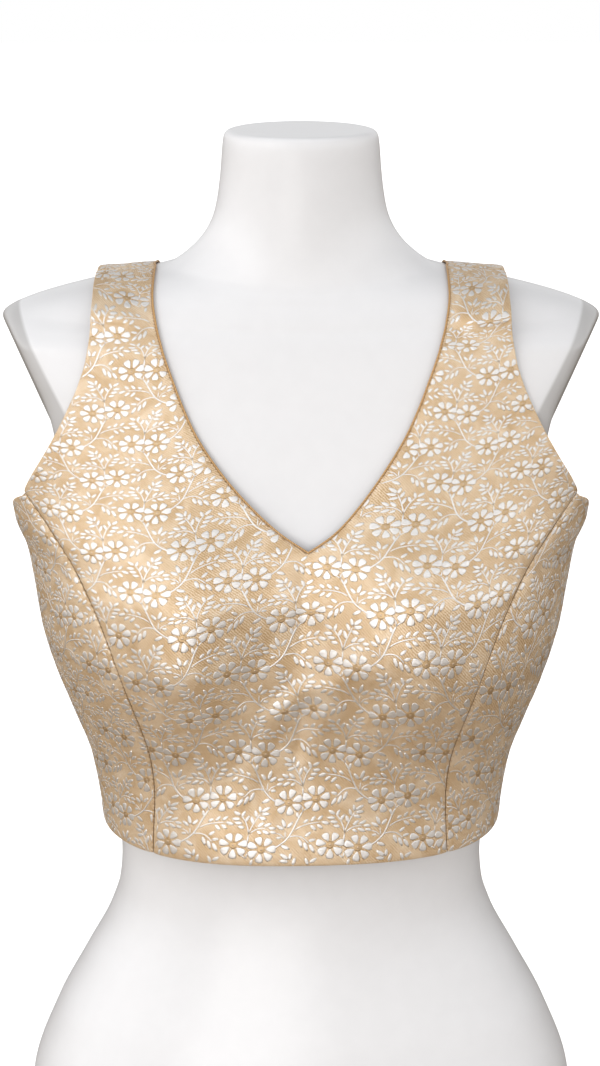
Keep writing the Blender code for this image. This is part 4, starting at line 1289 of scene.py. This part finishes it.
def all_twigs(low, high):
    """The middles of all twigs that may reach into a stretch of fabric, and which of them are turned."""
    columns = np.arange(np.floor((low[0] - REACH_RIGHT) / REPEAT_WIDE),
                        np.ceil((high[0] + REACH_LEFT) / REPEAT_WIDE))
    rows = np.arange(np.floor((low[1] - REACH_UP) / REPEAT_HIGH),
                     np.ceil((high[1] + REACH_DOWN) / REPEAT_HIGH))
    u, v = np.meshgrid(TWIG_AT + columns * REPEAT_WIDE, rows * REPEAT_HIGH)
    upright = np.stack([u.ravel(), v.ravel()], axis=-1)
    return np.concatenate([upright, upright + TURNED_AT]), np.repeat([1.0, -1.0], len(upright))


def woven(name, grid, first_column=0, last_column=None, above=None):
    """The twigs' blades laid on a grid. A blade counts as inside when its middle lies between the first
    and the last column, or above the point of the V between the two columns given for there."""
    fabric, points, out = grid["fabric"], grid["points"], grid["out"]
    rows, columns = fabric.shape[:2]
    last_column = columns - 1 if last_column is None else last_column
    low, high = fabric.min((0, 1)), fabric.max((0, 1))
    middles, hands = all_twigs(low, high)
    shape, tris, floss, part = TWIG
    flat = middles[:, None] + shape[:, :2] * np.stack([hands, np.ones_like(hands)], axis=-1)[:, None]
    number = (part + np.arange(len(middles))[:, None] * (part[-1] + 1)).ravel()
    weight = np.bincount(number)
    centre = np.stack([np.bincount(number, flat[..., k].ravel()) / weight for k in (0, 1)], -1)
    row, column, distance = nearest_cells(
        fabric, centre, ((centre > low - BOX_MARGIN) & (centre < high + BOX_MARGIN)).all(1))
    near = distance < NEAR
    row[near], column[near] = locate(fabric, centre[near], row[near], column[near])
    inside = near & (row > -PAST_FIRST) & (row < rows - BEFORE_LAST)
    inside &= (column >= first_column) & (column < last_column)
    if above:
        inside &= (row <= LOW_ROWS) | ((column > above[0]) & (column < above[1]))
    keep = inside[number]
    where, begin = flat.reshape(-1, 2)[keep], number[keep]
    r, c = locate(fabric, where, row[begin], column[begin])
    r, c = np.clip(r, 0, rows - 1), np.clip(c, 0, columns - 1)
    if above:
        c = np.where(r > LOW_ROWS, np.clip(c, *above), c)
    height = np.tile(shape[:, 2], len(middles))[keep]
    place = read_grid(points, r, c) + read_grid(out, r, c) * height[:, None]
    every = np.concatenate([(tris if hand > 0 else tris[:, ::-1]) + k * len(shape)
                            for k, hand in enumerate(hands)])
    every = (np.cumsum(keep) - 1)[every[keep[every[:, 0]]]]
    piece = add_piece(name, place, [every], [floss_finish])
    thread = piece.data.attributes.new("floss", "FLOAT", "POINT")
    thread.data.foreach_set("value", np.tile(floss, len(middles))[keep].astype(np.float32))
    store(piece.data, "Fabric", where)
    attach(piece, "root")
    print(name, "blades", int(inside.sum()), "triangles", len(every))
    return piece


def widened(grid, other, at_first):
    """A half front with some columns of the other half. Above the V they only carry its own on."""
    wide = {}
    for key in ("points", "out", "fabric"):
        mine, its = grid[key], other[key]
        near, step = (mine[:, :1], mine[:, :1] - mine[:, 1:2]) if at_first else (
            mine[:, -1:], mine[:, -1:] - mine[:, -2:-1])
        far = np.arange(FOLD_COLUMNS, 0, -1) if at_first else np.arange(1, FOLD_COLUMNS + 1)
        more = near + step * far[None, :, None] * (key != "out")
        low = slice(0, LOW_ROWS + 1)
        more[low] = its[low, -FOLD_COLUMNS - 1:-1] if at_first else its[low, 1:FOLD_COLUMNS + 1]
        wide[key] = np.concatenate([more, mine] if at_first else [mine, more], axis=1)
    return wide


print("a half front borrows", FOLD_COLUMNS, "columns")

# %% [markdown]
# The ground of the brocade is a satin of gold zari thread with a fine slanting twill. The thread is flat
# foil round a silk core, so it is half a metal: bright where it mirrors a lamp and honey brown where it
# doesn't, and slightly mottled because no two threads are wound alike. Three patterns are added up for
# that, and the same sum gives the relief. Along a seam, where the cloth turns down into the gap, its
# colour is darkened as painted shade.

# %% The gold ground
# painted shade: the seam's turned edge is coloured dark brown where it goes down into the gap
SEAM_SHADE, SHADE_FROM, SHADE_TO = "6A4828", -1.3, -0.6      # past the seam's edge, mm
HOLE_PITCH, HOLE_WIDE, HOLE_LONG = 2.1, 0.9, 0.8               # a needle's holes beside it, mm
HOLE_DEPTH = 0.6

fabric_finish, tree, shader = new_finish("Gold zari brocade ground")
place = add_node(tree, "ShaderNodeUVMap", uv_map="Fabric")
clouds = add_node(tree, "ShaderNodeTexNoise", {"Vector": place, "Scale": 0.06, "Detail": 4.0,
                                               "Roughness": 0.6, "Distortion": 0.6}, noise_dimensions="2D")
slanted = add_node(tree, "ShaderNodeMapping", {"Vector": place, "Scale": (1.7, 0.9, 1.0),
                                               "Rotation": (0, 0, 0.6)})
threads = add_node(tree, "ShaderNodeTexNoise", {"Vector": slanted, "Scale": 1.0, "Detail": 3.0},
                   noise_dimensions="2D")
# the real twill is about 0.5 mm, drawn at 1.5 mm so that it shows
twill = add_node(tree, "ShaderNodeTexWave", {"Vector": place, "Scale": 0.34, "Distortion": 3.5,
                                             "Detail": 2.0, "Detail Scale": 0.9},
                 wave_type="BANDS", bands_direction="DIAGONAL").outputs["Fac"]
cloudy, thready, twilled = (add_node(tree, "ShaderNodeMath", {0: part, 1: share}, operation="MULTIPLY")
                            for part, share in ((clouds, 0.42), (threads, 0.46), (twill, 0.2)))
relief = add_node(tree, "ShaderNodeMath", {0: thready, 1: twilled}, operation="ADD")
mixed = add_node(tree, "ShaderNodeMath", {0: cloudy, 1: relief}, operation="ADD")
gold = add_node(tree, "ShaderNodeValToRGB", {"Fac": mixed},
                [(0.4, "BA986E"), (0.5, "D2B58E"), (0.6, "E0C7A6"), (0.72, "F1E1CC")])
# the seam's turned edge is painted dark where it goes down into the gap, as painted shade, and a needle has
# pricked a row of holes beside it
seam_map = add_node(tree, "ShaderNodeUVMap", uv_map="Seam")
seam = add_node(tree, "ShaderNodeSeparateXYZ", {"Vector": seam_map}).outputs
pitch = add_node(tree, "ShaderNodeMath", {0: seam["Y"], 1: HOLE_PITCH}, operation="PINGPONG")
depth, hole, beside = (add_node(tree, "ShaderNodeMapRange", {
    "Value": at, "From Min": near, "From Max": far, "To Min": full, "To Max": 0.0})
    for at, near, far, full in ((seam["X"], SHADE_FROM, SHADE_TO, 1.0), (pitch, 0.0, HOLE_LONG, HOLE_DEPTH),
                                (seam["X"], 0.0, HOLE_WIDE, 1.0)))
pricked = add_node(tree, "ShaderNodeMath", {0: hole, 1: beside}, operation="MULTIPLY")
seam_painted_shade_and_holes = add_node(tree, "ShaderNodeMath", {0: depth, 1: pricked}, operation="MAXIMUM")
dark = add_node(tree, "ShaderNodeMix", {"Factor": seam_painted_shade_and_holes, 6: gold, 7: SEAM_SHADE}, data_type="RGBA")
weave = add_node(tree, "ShaderNodeBump", {"Height": relief, "Strength": 0.5, "Distance": 0.0006})
set_sockets(shader, {"Base Color": dark, "Normal": weave, "Metallic": 0.35, "Roughness": 0.43})
print("ground:", fabric_finish.name, "with", len(tree.nodes), "nodes")

# %% [markdown]
# The floss is loosely twisted silk with no foil in it, so its shine is soft and broad. Real silk isn't a
# metal, yet it mirrors along its threads nearly as one, and the high metallic value gives that sheen. The
# lining is plain cotton, and the neck's edge a strip of satin cut on the slant.

# %% Floss, lining and neck edge
floss_finish, tree, shader = new_finish("Silver-white silk floss")
place = add_node(tree, "ShaderNodeUVMap", uv_map="Fabric")
share = add_node(tree, "ShaderNodeAttribute", attribute_name="floss").outputs["Fac"]
# floss threads lie across the cloth, about 0.5 mm apart
strands = add_node(tree, "ShaderNodeMapping", {"Vector": place, "Scale": (0.35, 2.0, 1.0)})
silk = add_node(tree, "ShaderNodeTexNoise", {"Vector": strands, "Scale": 1.0, "Detail": 2.0},
                noise_dimensions="2D")
# the tan ramp gives the flowers' tan middles, and the outline painted round every blade's rim as shade of its
# relief
white, tan_middle_and_painted_outline, edge = (add_node(tree, "ShaderNodeValToRGB", {"Fac": factor}, stops) for factor, stops in (
    (silk, [(0.3, "E3DFDC"), (0.7, "F9F7F5")]), (share, [(0.05, "AC8A60"), (0.2, "D0B38C")]),
    (share, [(0.24, "000000"), (0.42, "FFFFFF")])))
colour = add_node(tree, "ShaderNodeMix", {"Factor": edge, 6: tan_middle_and_painted_outline, 7: white}, data_type="RGBA")
combed = add_node(tree, "ShaderNodeBump", {"Height": silk, "Strength": 0.3, "Distance": 0.0004})
set_sockets(shader, {"Base Color": colour, "Normal": combed, "Metallic": 0.88, "Roughness": 0.48})

lining_finish, tree, shader = new_finish("Dark brown cotton lining")
place = add_node(tree, "ShaderNodeUVMap", uv_map="Fabric")
# a plain weave, drawn at 0.7 mm a thread
plain = add_node(tree, "ShaderNodeTexChecker", {"Vector": place, "Scale": 1.4, "Color1": "6B4A2C",
                                                "Color2": "7A5836"})
set_sockets(shader, {"Base Color": plain, "Roughness": 0.85})

edge_finish, tree, shader = new_finish("Turned satin neck edge")
place = add_node(tree, "ShaderNodeUVMap", uv_map="Fabric")
twist = add_node(tree, "ShaderNodeTexWave", {"Vector": place, "Scale": 0.3, "Distortion": 1.0},
                 bands_direction="DIAGONAL").outputs["Fac"]
satin = add_node(tree, "ShaderNodeValToRGB", {"Fac": twist}, [(0.0, "AE8450"), (1.0, "D2AB78")])
set_sockets(shader, {"Base Color": satin, "Metallic": 0.25, "Roughness": 0.45})
print("finishes:", [m.name for m in (fabric_finish, floss_finish, lining_finish, edge_finish)])

# %% [markdown]
# Now the pieces are sewn up in a cutter's order: the front on its fold, the two side fronts, and the two
# backs, the wearer's left lapped over the right along the middle, where the hooks are hidden. Each takes
# its node's place, and its area is printed beside the size of the cloth it was cut from.

# %% The front
cloth = [fabric_finish, lining_finish]
LAST_ROW = LOW_ROWS + HIGH_ROWS
BELOW_V, ABOVE_V = (0, LOW_ROWS), (LOW_ROWS, LAST_ROW)
TOP_SEAM = ("top", 0, LAST_ROW)


def declared(piece, node, area, flowers):
    """Puts a finished piece of cloth in its node's place, and prints its area beside the size it was cut to.
    """
    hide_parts(node)
    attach(piece, "root")
    faces = np.empty(len(piece.data.polygons), np.float32)
    piece.data.polygons.foreach_get("area", faces)
    print(piece.name, "faces", len(faces), "area", round(float(faces.sum()) / 2, 4), "of", area)


half = front_grid()
left = laid(half, front_fabric, FRONT_CREASES, (("last", *BELOW_V), ("first", *ABOVE_V), TOP_SEAM),
            fold="first")
right = laid(mirrored_places(half), front_fabric, FRONT_CREASES,
             (("first", *BELOW_V), ("last", *ABOVE_V), TOP_SEAM), fold="last")
low = slice(0, LOW_ROWS + 1)
columns = half.shape[1]
# the normals on the fold are worked out across it
both_low = facing(np.concatenate([right["points"][low, :-1], left["points"][low]], axis=1))
right["out"][low], left["out"][low] = both_low[:, :columns], both_low[:, columns - 1:]
front = front_wall("front_center_cloth", right, left, cloth)
flowers = [
    woven("front_flowers_left", widened(left, right, True), FOLD_COLUMNS, None,
          (FOLD_COLUMNS, FOLD_COLUMNS + columns - 1)),
    woven("front_flowers_right", widened(right, left, False), 0, columns - 1, (0, columns - 1))]
declared(front, "front_center", 0.08, flowers)

# %% The side fronts, cut from another stretch of the same cloth, and the backs
def lap_rise(points):
    """How far the upper back stands off near the middle: full over the under back, then easing down."""
    return LAP_RISE * eased(PLACKET_FLAT + PLACKET_RAMP - points[..., 0], 0, PLACKET_RAMP)


side = side_front_grid()
side_rows = 0, len(side) - 1
for hand, mirror, shift in (("left", 1, (13, 24)), ("right", -1, (-22, -9))):
    places = side if mirror > 0 else mirrored_places(side)
    grid = laid(places, lambda at: front_fabric(at) + shift, SIDE_CREASES,
                (("first", *side_rows), ("last", *side_rows)), mirror)
    piece = grid_wall(f"side_front_{hand}_cloth", grid, cloth)
    declared(piece, f"side_front_{hand}", 0.025, [woven(f"side_flowers_{hand}", grid)])

back = back_grid()
for hand, mirror in (("left", 1), ("right", -1)):
    places = back if mirror > 0 else mirrored_places(back)
    side_edge, lap_edge = ("first", "last") if mirror > 0 else ("last", "first")
    seams = (side_edge, *BELOW_V), (lap_edge, LOW_ROWS + LAP_ROWS, LAST_ROW), TOP_SEAM
    grid = laid(places, back_fabric, BACK_CREASES, seams, mirror, back=True,
                lift=lap_rise if mirror > 0 else None)
    piece = grid_wall(f"back_{hand}_cloth", grid, cloth)
    declared(piece, f"back_{hand}", 0.068, [woven(f"back_flowers_{hand}", grid)])

# %% [markdown]
# A narrow strip of plain satin is stitched to the neckline and turned to the inside, and its fold rolls
# out as a thin even cord along the edge. It is a round profile carried along the neck's line. At the point
# of the V the profile is cut to a mitre and widened there, so that both arms keep their thickness.

# %% The neck's rolled edge
ROLL_STEPS = 12
LINE_STEPS = 150
LEAST_COS = 0.5                   # of half the bend, so that a mitre never grows too wide


def neck_roll(name, node, path, out):
    """A tube of the roll's diameter along a path, with closed ends. Each ring stands across the mean
    direction there, and is widened by 1 / cos(half the bend)."""
    step = unit(np.diff(path, axis=0))
    before, after = np.vstack([step[:1], step]), np.vstack([step, step[-1:]])
    way = unit(before + after)
    widen = 1 / np.clip((way * after).sum(1), LEAST_COS, 1)
    side = unit(np.cross(way, out))
    up = np.cross(side, way)
    turn = np.linspace(0, 2 * np.pi, ROLL_STEPS, endpoint=False)
    rings = path[:, None] + ROLL_DIAMETER / 2 * (
        side[:, None] * (np.cos(turn)[:, None] * widen[:, None, None]) + up[:, None] * np.sin(turn)[:, None])
    points, faces = closed_rings(rings)
    piece = add_piece(name, points, faces, [edge_finish])
    run = chords(path)
    places = np.stack(np.broadcast_arrays(run[:, None], turn * ROLL_DIAMETER / 2), axis=-1).reshape(-1, 2)
    store(piece.data, "Fabric", np.concatenate([places, places[[0, -1]]]))
    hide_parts(node)
    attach(piece, "root")
    print(name, round(float(run[-1])), "mm long")


def roll_line(curve):
    """The roll's middle, half a wall deep in the cloth, drawn back a little at the shoulder seam."""
    here, _, _, out = surface_at(tugged(divided(curve, np.linspace(0, 1, LINE_STEPS))))
    path = here - out * WALL / 2
    last = path[-1] - path[-2]
    path[-1] -= last / np.linalg.norm(last) * HALF_GAP
    return path, out


neckline = front_neck(ROLL_DIAMETER / 2)
(right_line, right_out), (left_line, left_out) = roll_line(neckline * (-1, 1)), roll_line(neckline)
neck_roll("neck_roll_front", "neck_edge_front", np.concatenate([right_line[:0:-1], left_line]),
          np.concatenate([right_out[:0:-1], left_out]))
over = np.array([-1, 1, 1])
back_line, back_out = roll_line(inset(back_neck(PLACKET_HALF), -ROLL_DIAMETER / 2))
neck_roll("neck_roll_back_left", "neck_edge_back_left", back_line + back_out * lap_rise(back_line)[:, None],
          back_out)
neck_roll("neck_roll_back_right", "neck_edge_back_right", back_line * over, back_out * over)
